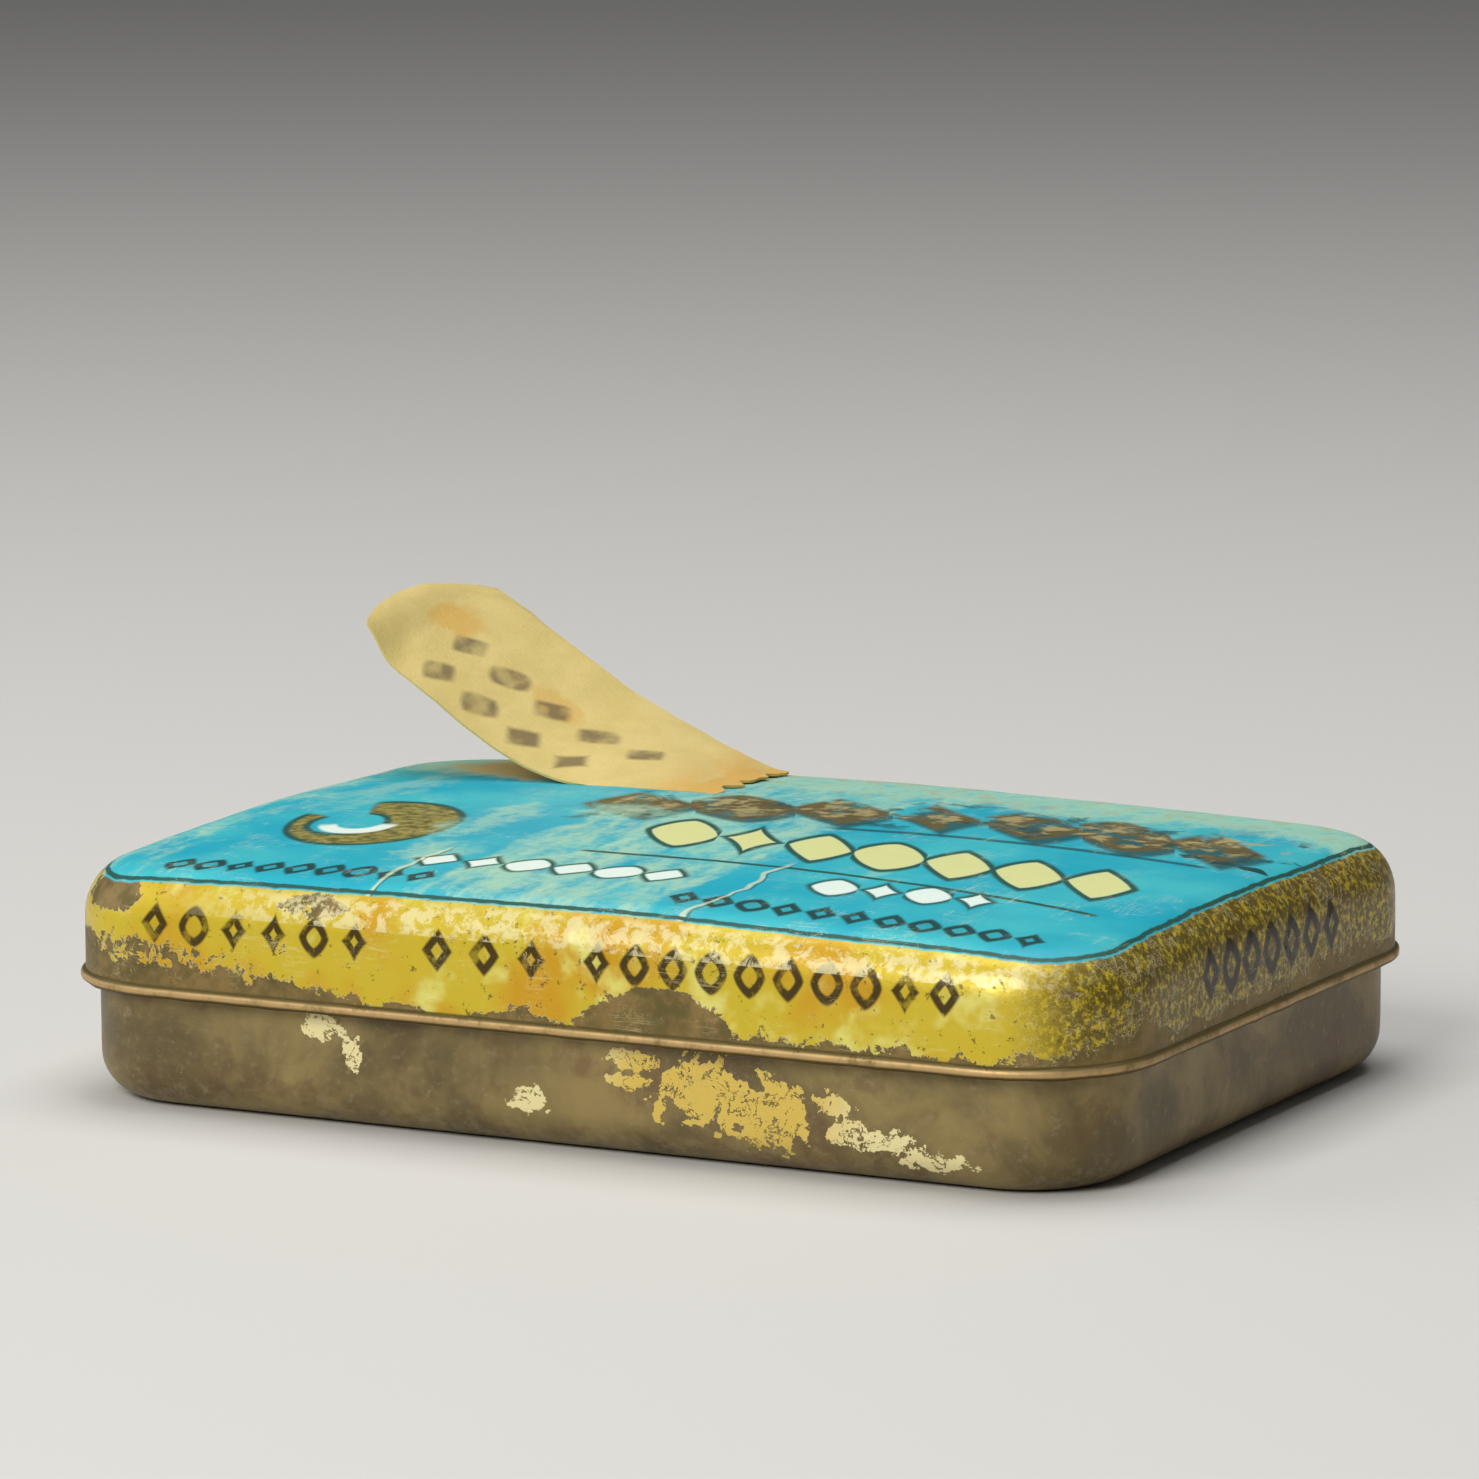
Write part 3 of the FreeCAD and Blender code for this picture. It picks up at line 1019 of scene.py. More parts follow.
    def outlined(self, g: Graph, flat: Value, ground: Value, row: MarkRow,
                 tone: Colour) -> Value:
        """Print a row of marks with a dark outline.

        Args:
            g: The material's graph.
            flat: Flat place in millimetres.
            ground: Colour below the row.
            row: The row.
            tone: Colour of the marks.

        Returns:
            The new colour.
        """
        marks = row.lay(g, flat)
        return g.mix(marks["Core"], g.mix(marks["Outline"], ground, self.line), tone)

    def ribbon(self, g: Graph, flat: Value, ground: Value) -> Value:
        """Print the arched band of brown lozenges along the panel's back half.

        Args:
            g: The material's graph.
            flat: Flat place in millimetres.
            ground: Colour below the band.

        Returns:
            The new colour.
        """
        along, level, _ = g.split(g.turned(flat, (5.5, 6.0), 6.0))
        across = level + along * along * 0.010
        keep = g.step(g.noise(flat, 0.55, 4.0, 0.62, 0.2), 0.36, 0.5)
        shadow = self.ribbon_row.lay(g, g.flat(along - 0.5, across + 0.9))["Fill"]
        front = self.ribbon_row.lay(g, g.flat(along, across))
        colour = g.mix(shadow * 0.85, ground, self.green_ink)
        colour = g.mix(front["Fill"] * keep, colour, self.brown)
        patchy = g.step(g.noise(flat, 0.9, 3.0, 0.6), 0.46, 0.58)
        colour = g.mix(front["Core"] * keep * patchy * 0.8, colour, self.tan)
        band = g.near(across, 0.2, 2.9, 1.2) * g.near(along, 1.0, 16.0, 2.0)
        blot = g.noise(flat, 0.42, 4.0, 0.6, 0.4, shift=(3.0, 8.0, 0.0))
        colour = g.mix(band * g.step(blot, 0.56, 0.63) * 0.75, colour, self.green_ink)
        colour = g.mix(band * g.step(blot, 0.38, 0.31) * 0.8, colour, self.tan)
        rule = g.near(across, -4.0, 0.14, 0.2) * g.near(along, 5.0, 7.5, 0.8)
        return g.mix(rule * 0.8, colour, self.green_ink)

    def scroll(self, g: Graph, flat: Value, ground: Value) -> Value:
        """Print the brown ring scroll with its white glint.

        Args:
            g: The material's graph.
            flat: Flat place in millimetres.
            ground: Colour below the scroll.

        Returns:
            The new colour.
        """
        x, y, _ = g.split(g.turned(flat, (-14.7, -4.3), 14.0))
        wide = x / 3.5
        deep = y / 4.9
        radius = g.math("SQRT", wide * wide + deep * deep)
        angle = g.math("ARCTAN2", deep, wide)
        ring = abs(radius - 0.70) - g.math("COSINE", angle - 0.2) * 0.15
        open_end = g.step(g.math("COSINE", angle - 2.2), 0.93, 0.86)
        colour = g.mix(g.step(ring, 0.33, 0.27) * open_end, ground, self.line)
        grain = g.step(g.noise(flat, 1.9, 3.0, 0.6), 0.35, 0.65)
        tone = g.mix(grain, self.scroll_dark, self.scroll_light)
        colour = g.mix(g.step(ring, 0.25, 0.18) * open_end, colour, tone)
        lower = g.step(g.math("COSINE", angle + 1.5), 0.0, 0.4)
        return g.mix(g.near(radius, 0.36, 0.07, 0.06) * lower, colour, self.white)

    def skirt_ink(self, g: Graph, place: Value) -> Value:
        """Return the mask of the dark ornament rows round the skirt.

        Args:
            g: The material's graph.
            place: Place in millimetres.

        Returns:
            The mask.
        """
        x, y, z = g.split(place)
        front = g.flat(x, z)
        fronts = g.most(*(row.lay(g, front)["Fill"] for row in self.front_rows))
        fronts = fronts * g.math("LESS_THAN", y, -self.half_width + 0.9)
        sides = self.side_row.lay(g, g.flat(y, z))["Fill"] * g.above(x, self.half_length - 0.9)
        backs = self.back_row.lay(g, front)["Fill"] * g.above(y, self.half_width - 0.9)
        rubbed = g.step(g.noise(place, 1.3, 4.0, 0.65), 0.34, 0.50) * 0.45 + 0.55
        return g.most(fronts * rubbed, sides, backs * rubbed)

    def skirt_wear(self, g: Graph, place: Value) -> Value:
        """Return how worn the skirt's coat is at each place, about 0 to 1.

        Args:
            g: The material's graph.
            place: Place in millimetres.

        Returns:
            The amount of wear.
        """
        x, y, z = g.split(place)
        worn = g.step(z, 6.3, 4.6) * 0.42 + 0.26
        worn = worn + g.step(x, -9.0, -15.5) * g.step(z, 7.3, 6.3) * 0.26
        for patch in self.skirt_patches:
            worn = worn + patch.lay(g, place, 0.8)
        return worn + g.step(x, 19.0, 22.0) * 0.12 + g.step(y, 13.0, 16.0) * 0.14

    def skirt_print(self, g: Graph, place: Value, ink: Value) -> Value:
        """Print the skirt's yellow coat with its ornament.

        Args:
            g: The material's graph.
            place: Place in millimetres.
            ink: Mask of the ornament.

        Returns:
            The coat's colour.
        """
        x = g.split(place)[0]
        tone = g.noise(place, 0.22, 3.0, 0.5, shift=(2.0, 5.0, 1.0))
        colour = g.mix(g.step(tone, 0.47, 0.64), self.yellow, self.amber)
        pale = g.noise(place, 0.5, 3.0, 0.55, shift=(7.0, 1.0, 3.0))
        colour = g.mix(g.step(pale, 0.52, 0.72), colour, self.lemon)
        speck = g.step(g.noise(place, 3.2, 4.0, 0.75, 0.2), 0.46, 0.64)
        dull = g.most(g.step(x, 18.6, 21.6), g.step(x, -21.0, -22.4))
        colour = g.mix(dull * 0.92, colour, g.mix(speck, self.brass, self.yellow))
        freckle = g.step(g.noise(place, 2.6, 4.0, 0.7), 0.62, 0.66)
        colour = g.mix(freckle * 0.7, colour, self.brass)
        return g.mix(ink, colour, self.ink)

    def material(self) -> bpy.types.Material:
        """Build the material.

        Returns:
            The finished material.
        """
        coat = Coat("lid_print")
        g, place = coat.graph, coat.place
        x, _, z = g.split(place)
        distance = g.use(panel_pattern(), Place=place, Radius=self.panel_r,
                         Half_Length=self.half_length - self.panel_inset,
                         Half_Width=self.half_width - self.panel_inset)["Distance"]
        distance = distance + (g.noise(place, 1.1, 3.0) - 0.5) * 0.22
        high = g.above(z, self.panel_z)
        on_top = g.step(distance, 0.06, -0.04) * high
        off_top = 1.0 - on_top
        ink = self.skirt_ink(g, place)
        flake = g.use(flaking_pattern(), Place=place, Worn=self.skirt_wear(g, place), Lip=0.012)
        metal_tone = g.noise(place, 0.9, 5.0, 0.7)
        pinkish = g.most(g.step(z, 5.6, 4.8), g.step(x, 21.5, 22.4))
        metal = g.mix(g.step(metal_tone, 0.38, 0.66), self.bare, self.bare_pink)
        metal = g.mix(pinkish * 0.35, metal, self.bare_pink)
        skirt = g.mix(flake["Lip"], self.skirt_print(g, place, ink), self.cream)
        skirt = g.mix(flake["Bare"], skirt, metal)
        # Ink on the right end is printed darker than elsewhere, as painted shade on that end.
        skirt = g.mix(ink * g.above(x, 22.0) * 0.9, skirt, self.shaded_side_ink)
        # Cream streak along the rounding of the top edge: partly rubbed print and partly a painted
        # highlight.
        edge = g.step(abs(distance - 0.55), 0.6, 0.2) * g.above(z, 7.9)
        edge = edge * g.step(g.noise(place, 1.8, 5.0, 0.7, 0.4), 0.44, 0.56)
        edge = edge * g.step(x, -18.0, -10.0) * g.step(x, 22.0, 18.5)
        skirt = g.mix(edge * 0.6, skirt, self.cream)

        colour = g.mix(on_top, skirt, self.top_print(g, place))
        colour = g.mix(g.near(distance, -0.16, 0.06, 0.07) * high, colour, self.line)
        colour = g.mix(g.scratches(place, 0.25), colour, self.cream)
        # Rim bead: bare metal with a painted highlight along its middle band and painted shade, in
        # brass, on its underside.
        rim = g.mix(g.step(metal_tone, 0.30, 0.55), self.bare_pink, self.rim_highlight)
        rim = g.mix(g.step(z, 4.84, 4.94), rim, self.bare)
        rim = g.mix(g.step(z, 4.72, 4.60), rim, self.brass)
        bead = g.step(z, 5.08, 4.98)
        colour = g.mix(bead, colour, rim)

        bare_skirt = flake["Bare"] * off_top
        bare = g.most(bare_skirt, bead)
        grain = g.noise(place, 2.6, 5.0, 0.65)
        coat.wear(Base_Color=colour, Specular_IOR_Level=0.32,
                  Roughness=bare * 0.17 + grain * 0.16 + on_top * 0.12 + 0.25,
                  Metallic=bare * 0.35 + off_top * 0.20)
        coat.bump(grain * 0.35 - bare_skirt * 0.5, 0.00006)
        return coat.material


@dataclass(frozen=True)
class TarnishedTray:
    """Dark lacquered tinplate with brown tarnish and a few yellow flakes left on its front."""

    dark: Colour = rgb(102, 88, 56)
    olive: Colour = rgb(154, 134, 84)
    brown: Colour = rgb(104, 78, 54)
    grey: Colour = rgb(160, 146, 112)
    yellow: Colour = rgb(214, 184, 82)
    cream: Colour = rgb(232, 218, 160)
    yellow_part: Patch = Patch((6.9, -15.5, 2.8), (6.4, 5.0, 4.0))
    large_flakes: tuple[Patch, ...] = (
        Patch((6.3, -15.5, 3.0), (2.8, 3.0, 1.75)),
        Patch((9.0, -15.5, 2.1), (1.9, 3.0, 1.5)),
    )
    small_flakes: tuple[Patch, ...] = (
        Patch((11.6, -15.5, 2.9), (0.95, 2.0, 0.60)),
        Patch((12.2, -15.5, 1.9), (1.1, 2.0, 0.60)),
        Patch((13.8, -15.5, 1.6), (1.7, 2.0, 0.60)),
        Patch((15.8, -15.3, 1.05), (1.8, 2.0, 0.50)),
        Patch((-10.2, -15.5, 3.9), (1.0, 2.0, 0.65)),
        Patch((-8.8, -15.5, 3.0), (0.55, 2.0, 0.85)),
        Patch((3.3, -15.5, 3.8), (1.3, 2.0, 0.50)),
        Patch((3.0, -15.5, 3.0), (1.2, 2.0, 0.35)),
        Patch((-1.2, -15.5, 1.9), (0.9, 2.0, 0.65)),
    )

    def material(self) -> bpy.types.Material:
        """Build the material.

        Returns:
            The finished material.
        """
        coat = Coat("base_lacquer")
        g, place = coat.graph, coat.place
        fine = g.noise(place, 2.4, 5.0, 0.72)
        cloud = g.noise(place, 0.20, 4.0, 0.6, 0.3)
        colour = g.mix(g.step(cloud, 0.34, 0.68), self.dark, self.olive)
        tarnish = g.noise(place, 0.45, 4.0, 0.6, 0.2, shift=(4.0, 9.0, 2.0))
        colour = g.mix(g.step(tarnish, 0.52, 0.66) * 0.55, colour, self.brown)
        colour = g.mix(g.step(fine, 0.52, 0.74) * 0.5, colour, self.grey)
        foot = g.step(g.split(place)[2], 1.5, 0.3) * g.step(fine, 0.42, 0.6)
        colour = g.mix(foot * 0.4, colour, self.grey)

        ragged = g.noise(place, 2.4, 5.0, 0.75, 0.3)
        large = [flake.lay(g, place, 2.4, 1.0) for flake in self.large_flakes]
        small = [flake.lay(g, place, 2.4, 2.0) for flake in self.small_flakes]
        crack = g.near(g.noise(place, 0.9, 4.0, 0.7, 0.5), 0.52, 0.008, 0.014)
        crack = crack * g.step(ragged, 0.44, 0.52)
        over = g.most(*large, *small) - crack - ragged * 1.05
        left = g.step(over, -0.02, 0.02)
        lip = g.step(over, -0.02, 0.03) * g.step(over, 0.16, 0.06)
        flake_tone = g.mix(self.yellow_part.lay(g, place, 0.2), self.cream, self.yellow)
        colour = g.mix(left, colour, flake_tone)
        colour = g.mix(lip * 0.35, colour, self.cream)
        colour = g.mix(g.scratches(place, 0.21), colour, self.grey)
        coat.wear(Base_Color=colour, Roughness=fine * 0.26 + 0.30, Metallic=0.4 - left * 0.4)
        coat.bump(left * 0.5 + fine * 0.5, 0.00005)
        return coat.material


@dataclass(frozen=True)
class BareTin:
    """Inside of the sheet: dull gold lacquer with stains and fine scratches."""

    gold: Colour = rgb(172, 150, 98)
    grey: Colour = rgb(156, 146, 116)
    stain: Colour = rgb(96, 74, 46)
    scratch: Colour = rgb(206, 198, 180)

    def material(self) -> bpy.types.Material:
        """Build the material.

        Returns:
            The finished material.
        """
        coat = Coat("tin_inside")
        g, place = coat.graph, coat.place
        cloud = g.noise(place, 0.18, 4.0, 0.6, 0.4)
        fine = g.noise(place, 2.8, 4.0, 0.7)
        stain = g.step(g.noise(place, 0.5, 5.0, 0.7, 0.3), 0.56, 0.70)
        colour = g.mix(g.step(cloud, 0.38, 0.64), self.gold, self.grey)
        colour = g.mix(stain * 0.6, colour, self.stain)
        colour = g.mix(g.scratches(place, 0.4), colour, self.scratch)
        coat.wear(Base_Color=colour, Roughness=fine * 0.24 + 0.26, Metallic=0.85 - stain * 0.5)
        coat.bump(fine, 0.00003)
        return coat.material


@dataclass(frozen=True)
class Steel:
    """Steel of the needles or of the hinge wires, with a little tarnish and rust."""

    name: str
    clean: Colour
    tarnish: Colour
    roughness: float
    rust: Colour = rgb(110, 70, 40)

    def material(self) -> bpy.types.Material:
        """Build the material.

        Returns:
            The finished material.
        """
        coat = Coat(self.name)
        g, place = coat.graph, coat.place
        grain = g.noise(place, 5.0, 3.0, 0.6)
        cloud = g.step(g.noise(place, 0.5, 4.0, 0.6), 0.45, 0.68)
        rust = g.step(g.noise(place, 1.4, 5.0, 0.75), 0.66, 0.74)
        colour = g.mix(cloud, self.clean, self.tarnish)
        colour = g.mix(rust * 0.5, colour, self.rust)
        coat.wear(Base_Color=colour, Roughness=grain * 0.16 + self.roughness,
                  Metallic=1.0 - rust * 0.5)
        coat.bump(grain, 0.00001)
        return coat.material


@dataclass(frozen=True)
class AgedPaper:
    """Cream paper with orange glue stains, fibres and two rows of faded generic marks."""

    cream: Colour = rgb(206, 184, 112)
    light: Colour = rgb(216, 194, 124)
    orange: Colour = rgb(208, 160, 66)
    ink: Colour = rgb(98, 80, 56)
    length: float = 25.0
    width: float = 8.0
    stuck: float = 7.5
    stains: tuple[Patch, ...] = (
        Patch((3.6, 4.6, 0.0), (1.9, 1.3, 1.0), 0.7),
        Patch((10.8, 4.2, 0.0), (2.2, 0.9, 1.0), 0.5),
    )
    rows: tuple[MarkRow, ...] = (
        MarkRow((10.9, 3.8), 0.0, 2.72, 5, 0.90, 0.80, 0.5, seed=5.0, soft=0.34),
        MarkRow((9.7, 1.45), 0.0, 2.8, 4, 0.95, 0.75, 0.5, seed=9.0, soft=0.34),
    )

    def material(self) -> bpy.types.Material:
        """Build the material.

        Returns:
            The finished material.
        """
        coat = Coat("label_paper")
        g = coat.graph
        flat = g.mapped(coat.coordinate("UV"), "POINT", Scale=(self.length, self.width, 1))
        cloud = g.noise(flat, 0.35, 4.0, 0.6)
        fibre = g.noise(flat, 3.4, 5.0, 0.75, 0.3, (1.0, 2.4, 1.0))
        colour = g.mix(g.step(cloud, 0.35, 0.68), self.cream, self.light)
        root = g.step(g.split(flat)[0], self.length - self.stuck, self.length - 2.0)
        stains = g.most(root * g.step(cloud, 0.30, 0.52),
                        *(stain.lay(g, flat, 1.4) for stain in self.stains))
        colour = g.mix(stains * 0.85, colour, self.orange)
        faded = g.step(g.noise(flat, 0.9, 2.0, 0.5), 0.30, 0.62) * 0.45 + 0.35
        for row in self.rows:
            colour = g.mix(row.lay(g, flat)["Fill"] * faded, colour, self.ink)
        coat.wear(Base_Color=colour, Roughness=fibre * 0.15 + 0.72, Specular_IOR_Level=0.25,
                  Sheen_Weight=0.1)
        coat.bump(fibre, 0.00005)
        return coat.material


@dataclass(frozen=True)
class PlainFloor:
    """Plain pale studio floor."""

    tone: Colour = rgb(202, 200, 196)

    def material(self) -> bpy.types.Material:
        """Build the material.

        Returns:
            The finished material.
        """
        coat = Coat("studio_floor")
        coat.wear(Base_Color=self.tone, Roughness=0.85)
        return coat.material


# ---------------------------------------------------------------- the tin's sub-assemblies


@dataclass
class Lid:
    """Pressed lid with its crowned top, rolled rim and curled hinge tabs."""

    length: float = 45.0
    width: float = 32.0
    corner_r: float = 5.0
    edge_r: float = 2.0
    rim_z: float = 4.5
    corner_z: float = 9.0
    crown: float = 0.9
    dent: float = 0.035
    skirt_foot: float = 1.2
    sheet: float = 0.25
    bead: float = 0.5
    bead_proud: float = 0.2
    hinge_x: float = 12.0
    tab_inner: float = 1.6
    tab_outer: float = 3.1
    tab_rise: float = 0.9
    window_depth: float = 1.6
    window_height: float = 1.3
    window_r: float = 0.25

    def crown_at(self, x: float, y: float) -> float:
        """Return how far the top stands over its corners at a place.

        Args:
            x: Place along the lid.
            y: Place across the lid.

        Returns:
            The height over the corners.
        """
        along = (2 * x / self.length) ** 2
        across = (2 * y / self.width) ** 2
        return self.crown / 2 * (2 - along - across)

    def raise_crown(self, shell: bpy.types.Object) -> None:
        """Raise the top into its crown, with a few shallow dents.

        Args:
            shell: The lid's pressing.
        """
        foot = self.rim_z + self.skirt_foot
        top = self.corner_z - self.edge_r * 0.6

        def target(place: Vector, number: tuple[int, int, int]) -> Vector:
            """Return a lattice point's new place.

            Args:
                place: Its old place.
                number: Its number along each axis.

            Returns:
                Its new place.
            """
            if number[2] == 0:
                return place
            dent = self.dent * math.sin(1.7 * number[0] + 0.9) * math.cos(2.3 * number[1] + 0.4)
            return place + Vector((0, 0, self.crown_at(place.x, place.y) + dent))

        bend_with_lattice(shell, (self.length, self.width, top - foot),
                          (0, 0, (top + foot) / 2), (9, 7, 2), target)

    def near_hinge(self, point: Vector) -> bool:
        """Return whether a point of the rim is where a hinge stands."""
        return point.y > 0 and abs(abs(point.x) - self.hinge_x) < self.tab_outer + 0.1

    def build(self, hinge: Vector, faces: list[bpy.types.Material]) -> bpy.types.Object:
        """Make the lid.

        Args:
            hinge: A point on the hinge axis, in millimetres.
            faces: Materials of the print and of the inside.

        Returns:
            The finished lid.
        """
        pan = Pan("lid_pressing", self.length, self.width, self.corner_r, self.edge_r,
                  self.corner_z - self.edge_r, self.rim_z + 0.1, self.sheet)
        shell = pan.build(faces)
        self.raise_crown(shell)
        ripple(shell, "lid_waves", 9.0, 0.10, "NORMAL")
        ripple(shell, "lid_dings", 1.6, 0.035, "NORMAL")
        pan.thicken(shell)
        self.cut_windows(shell)
        smooth(shell, 45)
        grow = self.bead_proud - self.bead / 2
        bead = outline_tube("lid_bead", self.length + 2 * grow, self.width + 2 * grow,
                            self.corner_r + grow, self.rim_z + self.bead / 2, self.bead,
                            self.near_hinge)
        ripple(bead, "bead_waves", 1.4, 0.10, "NORMAL")
        parts = [shell, bead]
        for side in (-1, 1):
            for end in (-1, 1):
                ends = sorted((side * self.hinge_x + end * self.tab_inner,
                               side * self.hinge_x + end * self.tab_outer))
                parts.append(curled_tab("lid_tab", ends[0], ends[1],
                                        (self.width / 2 - self.sheet / 2,
                                         self.rim_z + self.tab_rise),
                                        self.sheet, hinge, True))
        clad(parts[1:], [faces[0]] * len(parts[1:]))
        lid = join(parts, "printed_lid")
        finish_piece(lid, Body.LID, ["lid_shell"])
        return lid

    def cut_windows(self, shell: bpy.types.Object) -> None:
        """Cut the window over each tray knuckle out of the skirt.

        Args:
            shell: The lid's pressing.
        """
        for side in (-1, 1):
            cutter = fresh(bpy.ops.mesh.primitive_cube_add, "window", size=1.0,
                           location=(side * self.hinge_x, self.width / 2, self.rim_z))
            cutter.scale = (2 * self.tab_inner, self.window_depth, self.window_height)
            set_place(cutter)
            open_edit(cutter, Pick.EDGES)
            choose(cutter, Pick.EDGES,
                   lambda p: abs(p[0].y - p[1].y) > 0.5 and p[0].z > self.rim_z)
            bpy.ops.mesh.bevel(offset=self.window_r, segments=4, affect="EDGES")
            close_edit()
            modify(shell, "BOOLEAN", object=cutter, operation="DIFFERENCE", solver="EXACT")
            bpy.data.objects.remove(cutter)


@dataclass
class Tray:
    """Pressed tray with its hemmed top edge and one curled tab a hinge."""

    length: float = 43.9
    width: float = 30.9
    corner_r: float = 4.45
    edge_r: float = 1.7
    top_z: float = 7.2
    sheet: float = 0.25
    hem: float = 0.5
    hem_height: float = 0.9
    floor_z: float = 0.3
    hinge_x: float = 12.0
    tab_half: float = 1.5
    tab_drop: float = 0.7

    def build(self, hinge: Vector, faces: list[bpy.types.Material]) -> bpy.types.Object:
        """Make the tray.

        Args:
            hinge: A point on the hinge axis, in millimetres.
            faces: Materials of the outside and of the inside.

        Returns:
            The finished tray.
        """
        pan = Pan("tray_pressing", self.length, self.width, self.corner_r, self.edge_r,
                  self.edge_r, self.top_z - self.hem_height / 2, self.sheet)
        shell = pan.build(faces)
        walls = shell.vertex_groups.new(name="walls")
        walls.add([v.index for v in shell.data.vertices if v.co.z > self.floor_z], 1.0, "REPLACE")
        ripple(shell, "tray_waves", 8.0, 0.08, "NORMAL", "walls")
        ripple(shell, "tray_dings", 1.5, 0.04, "NORMAL", "walls")
        pan.thicken(shell)
        smooth(shell, 45)
        band = outline_tube("tray_hem", self.length - self.hem, self.width - self.hem,
                            self.corner_r - self.hem / 2, self.top_z - self.hem_height / 2,
                            self.hem, None, self.hem_height - self.hem)
        parts = [shell, band]
        for side in (-1, 1):
            middle = side * self.hinge_x
            parts.append(curled_tab("tray_tab", middle - self.tab_half, middle + self.tab_half,
                                    (self.width / 2 - self.sheet / 2,
                                     hinge.z - self.tab_drop + self.sheet / 2),
                                    self.sheet, hinge, False))
        clad(parts[1:], [faces[1], faces[0], faces[0]])
        tray = join(parts, "lacquered_tray")
        finish_piece(tray, Body.TRAY, ["base_tray"])
        return tray


@dataclass
class PaperLabel:
    """Torn label: its root is stuck to the lid and the rest lifts, twists and curls."""

    length: float = 25.0
    width: float = 8.0
    paper: float = 0.1
    steps_along: int = 108
    steps_across: int = 32
    front: tuple[Point, ...] = (
        (-21.2, 7.2, 15.9), (-19.8, 7.1, 14.15), (-17.9, 7.0, 12.95), (-15.7, 7.0, 11.45),
        (-13.4, 7.0, 10.3), (-10.9, 7.0, 9.76), (-8.4, 7.0, 9.80), (-6.6, 7.0, 9.83),
        (-4.9, 7.0, 9.85),
    )
    back: tuple[Point, ...] = (
        (-20.9, 13.8, 16.75), (-19.0, 14.9, 16.25), (-16.9, 14.9, 14.9), (-14.6, 14.7, 13.55),
        (-12.2, 14.5, 12.25), (-9.6, 14.3, 11.15), (-7.8, 14.1, 10.45), (-6.3, 14.0, 9.92),
        (-5.0, 13.9, 9.66),
    )

    def build(self, crown: Callable[[float, float], float],
              paper: bpy.types.Material) -> bpy.types.Object:
        """Make the label.

        Args:
            crown: Gives the height of the lid's top, in millimetres, at a place on it.
            paper: The label's material.

        Returns:
            The finished label.
        """
        label = fresh(bpy.ops.mesh.primitive_grid_add, "torn_label", size=1.0,
                      x_subdivisions=self.steps_along, y_subdivisions=self.steps_across)
        label.data.name = label.name
        label.scale = (self.length, self.width, 1)
        set_place(label)
        torn = label.vertex_groups.new(name="torn_end")
        for corner in label.data.vertices:
            near_end = (corner.co.x - self.length * 0.44) / (self.length * 0.06)
            if near_end > 0:
                torn.add([corner.index], min(near_end, 1.0), "REPLACE")
        ripple(label, "torn_edge", 0.9, 1.6, "X", "torn_end")
        self.round_free_end(label)
        bend_with_lattice(label, (self.length, self.width, 1.0), (0, 0, 0),
                          (len(self.front), 5, 2), self.station)
        ripple(label, "paper_cockle", 2.2, 0.14, "NORMAL")
        label.data.materials.append(paper)
        modify(label, "SOLIDIFY", thickness=self.paper, offset=0.0)
        self.lift_off(label, crown)
        smooth(label, 60)
        finish_piece(label, Body.LID, ["paper_label"])
        return label

    def round_free_end(self, label: bpy.types.Object) -> None:
        """Pull the corners of the free end in, the back one more than the front one.

        Args:
            label: The flat label.
        """
        for corner in label.data.vertices:
            from_end = corner.co.x + self.length / 2
            across = corner.co.y / self.width + 0.5
            size = 5.4 if across > 0.5 else 0.6
            reach = abs(across - 0.5) * 2
            inward = size * (1 - math.sqrt(max(0.0, 1 - reach ** 3)))
            corner.co.x += inward * max(0.0, 1 - from_end / 8.0)

    def station(self, place: Vector, number: tuple[int, int, int]) -> Vector:
        """Return a lattice point's new place from the label's two edges.

        Args:
            place: Its old place.
            number: Its number along each axis.

        Returns:
            Its new place.
        """
        front = Vector(self.front[number[0]])
        back = Vector(self.back[number[0]])
        share = number[1] / 4
        bow = 0.22 * math.sin(math.pi * share) * (1 if number[0] < 6 else 0.35)
        spread = front.lerp(back, share)
        slope = (back - front).normalized()
        up = Vector((-0.5 if number[0] < 5 else 0.0, 0.0, 1.0))
        normal = (up - slope * up.dot(slope)).normalized()
        return spread + normal * (bow + place.z)

    def lift_off(self, label: bpy.types.Object, crown: Callable[[float, float], float]) -> None:
        """Raise what would dip into the lid so that it lies on it.

        Args:
            label: The bent label.
            crown: Gives the height of the lid's top at a place on it.
        """
        for corner in label.data.vertices:
            floor = crown(corner.co.x, corner.co.y) + 0.06
            if corner.co.z < floor:
                corner.co.z = floor + (corner.co.z - floor) * 0.05


@dataclass
class CarriedNodes:
    """CAD nodes that keep their shape and only get a finish."""

    finishes: dict[str, Steel]

    def dress(self) -> None:
        """Give each carried node its material."""
        for prefix, steel in self.finishes.items():
            material = steel.material()
            for name, node in frame["nodes"].items():
                if name.startswith(prefix):
                    for slot in node.material_slots:
                        slot.material = material
                    LOG.info("%s: dressed in %s", name, material.name)


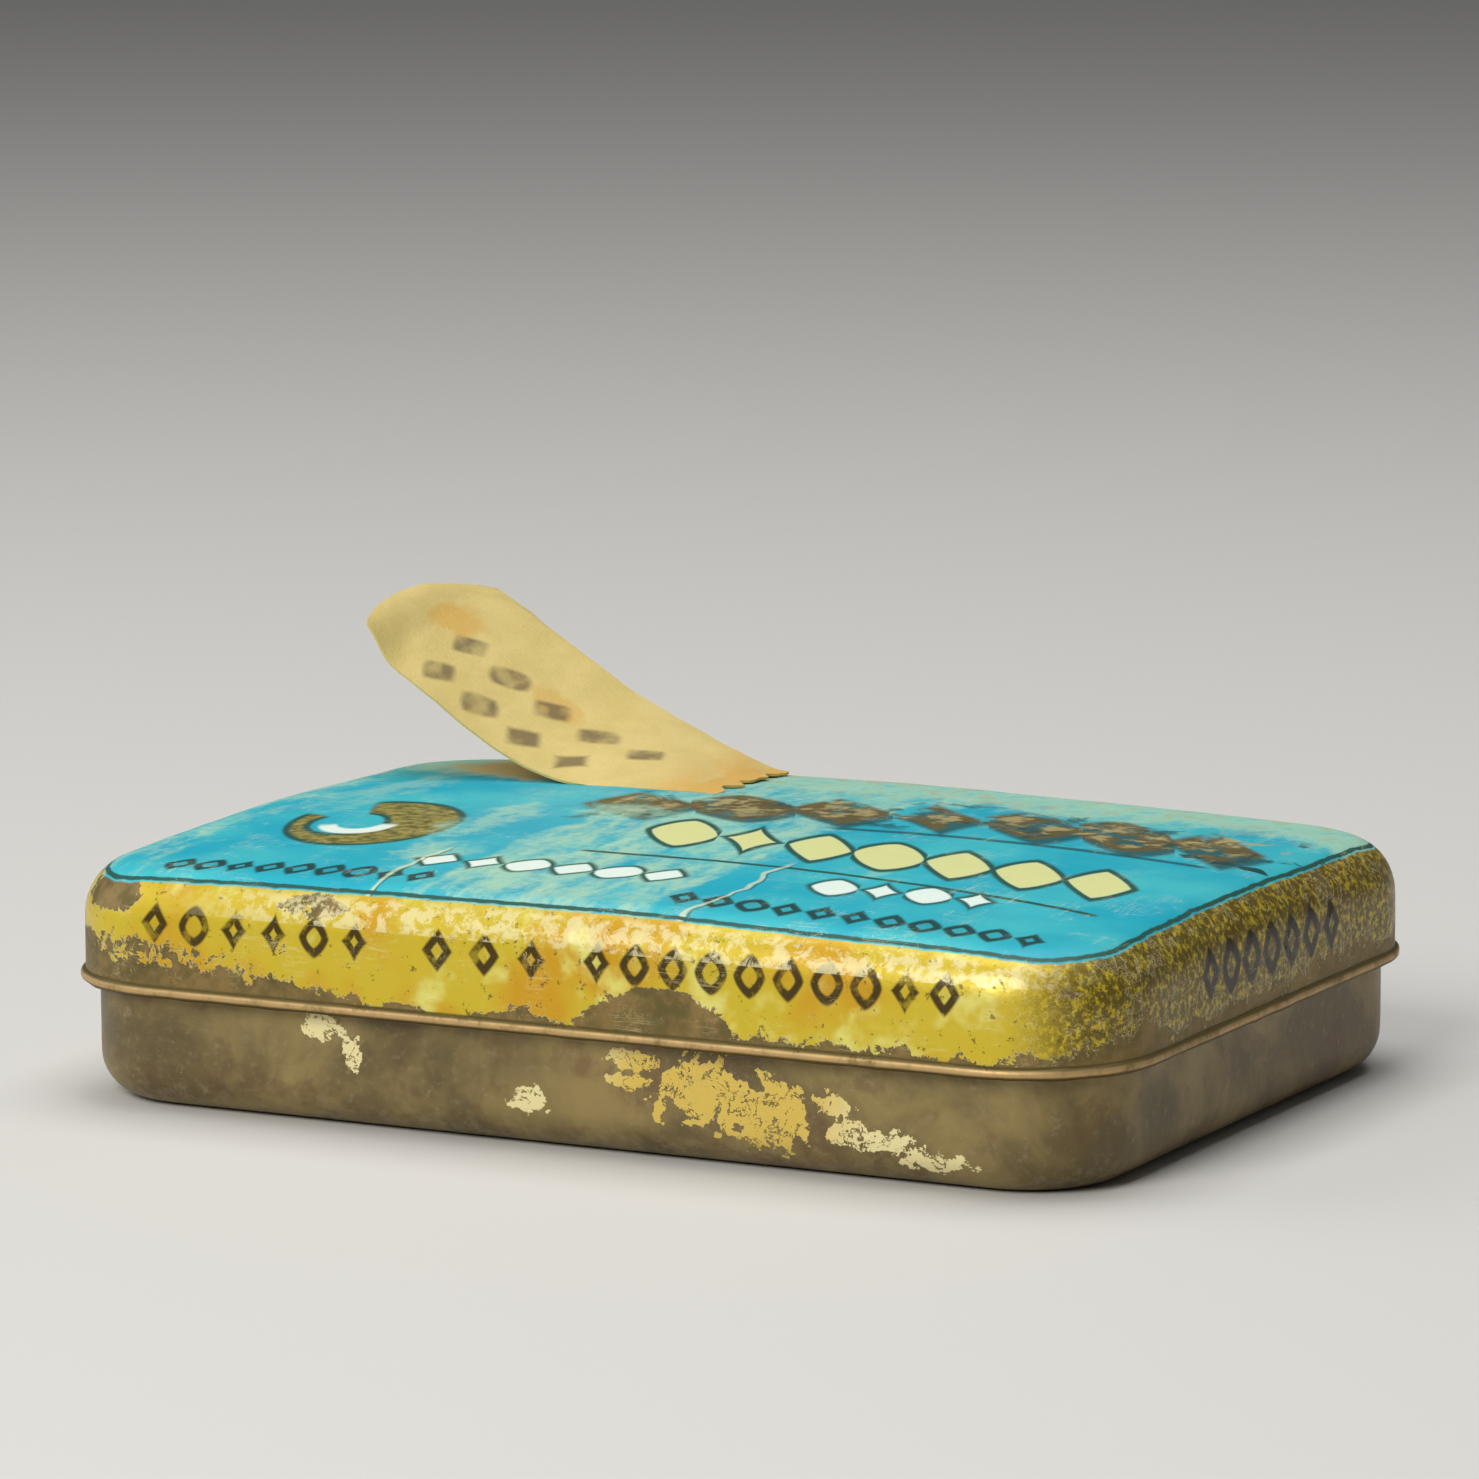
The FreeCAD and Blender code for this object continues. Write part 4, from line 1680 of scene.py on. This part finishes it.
@dataclass
class Studio:
    """Floor, lights and camera."""

    azimuth: float = 27.093
    elevation: float = 9.366
    roll: float = -0.192
    distance: float = 0.33327
    aim: Point = (-0.00012, -0.00006, 0.01345)
    lens: float = 208.2

    def floor(self) -> None:
        """Lay the floor."""
        ground = fresh(bpy.ops.mesh.primitive_plane_add, "studio_floor", size=8.0,
                       location=(0, 0, -0.00002))
        set_place(ground)
        ground.data.materials.append(PlainFloor().material())

    def lamp(self, name: str, place: Point, size: float, power: float,
             colour: Colour = (1.0, 1.0, 1.0)) -> None:
        """Hang a square soft lamp that looks at the tin.

        Args:
            name: Name of the lamp.
            place: Where it hangs, in metres.
            size: Side of its square.
            power: Its power in watts.
            colour: Colour of its light.
        """
        lamp = fresh(bpy.ops.object.light_add, name, type="AREA", location=place)
        lamp.data.size = size
        lamp.data.energy = power
        lamp.data.color = colour
        look = Vector((0, 0, 0.008)) - Vector(place)
        lamp.rotation_euler = look.to_track_quat("-Z", "Y").to_euler()

    def lights(self) -> None:
        """Hang the lamps and set the pale surroundings."""
        self.lamp("key_lamp", (-0.02, -0.34, 0.24), 0.20, 1.18, (1.0, 0.98, 0.94))
        self.lamp("fill_lamp", (-0.34, -0.08, 0.20), 0.30, 0.44, (0.96, 0.98, 1.0))
        self.lamp("top_lamp", (0.0, 0.04, 0.36), 0.30, 0.98)
        world = bpy.data.worlds.new("studio")
        world.use_nodes = True
        backdrop = world.node_tree.nodes["Background"]
        backdrop.inputs["Color"].default_value = (0.80, 0.82, 0.84, 1.0)
        backdrop.inputs["Strength"].default_value = 0.12
        bpy.context.scene.world = world
        bpy.context.scene.view_settings.view_transform = "Standard"

    def camera(self) -> None:
        """Set up the camera."""
        azimuth = math.radians(self.azimuth)
        elevation = math.radians(self.elevation)
        roll = math.radians(self.roll)
        back = Vector((math.sin(azimuth) * math.cos(elevation),
                       -math.cos(azimuth) * math.cos(elevation), math.sin(elevation)))
        right = (-back).cross(Vector((0, 0, 1))).normalized()
        up = right.cross(-back)
        across = right * math.cos(roll) + up * math.sin(roll)
        upright = up * math.cos(roll) - right * math.sin(roll)
        turn = Matrix((across, upright, back)).transposed()
        camera = fresh(bpy.ops.object.camera_add, "front_camera", rotation=turn.to_euler(),
                       location=Vector(self.aim) + back * self.distance)
        camera.data.lens = self.lens
        camera.data.sensor_width = 36.0
        camera.data.clip_start = 0.01
        camera.data.clip_end = 50.0
        bpy.context.scene.camera = camera


def hinge_axis() -> Vector:
    """Return a point on the lid's hinge axis, in millimetres."""
    joint = frame["joints"][0]
    return Vector((0, joint["pos_m"][1] / MM, joint["pos_m"][2] / MM))


def main() -> None:
    """Build the studio and every sub-assembly in order."""
    logging.basicConfig(level=logging.INFO, format="%(message)s")
    studio = Studio()
    studio.camera()
    studio.floor()
    studio.lights()
    inside = BareTin().material()
    hinge = hinge_axis()
    lid = Lid()
    lid.build(hinge, [PrintedLid().material(), inside])
    Tray().build(hinge, [TarnishedTray().material(), inside])
    PaperLabel().build(lambda x, y: lid.corner_z + lid.crown_at(x, y), AgedPaper().material())
    CarriedNodes({
        "needle_": Steel("needle_steel", rgb(196, 196, 198), rgb(142, 136, 130), 0.24),
        "hinge_pin_": Steel("pin_wire", rgb(134, 126, 112), rgb(84, 66, 48), 0.36),
    }).dress()


if __name__ == "__main__":
    main()
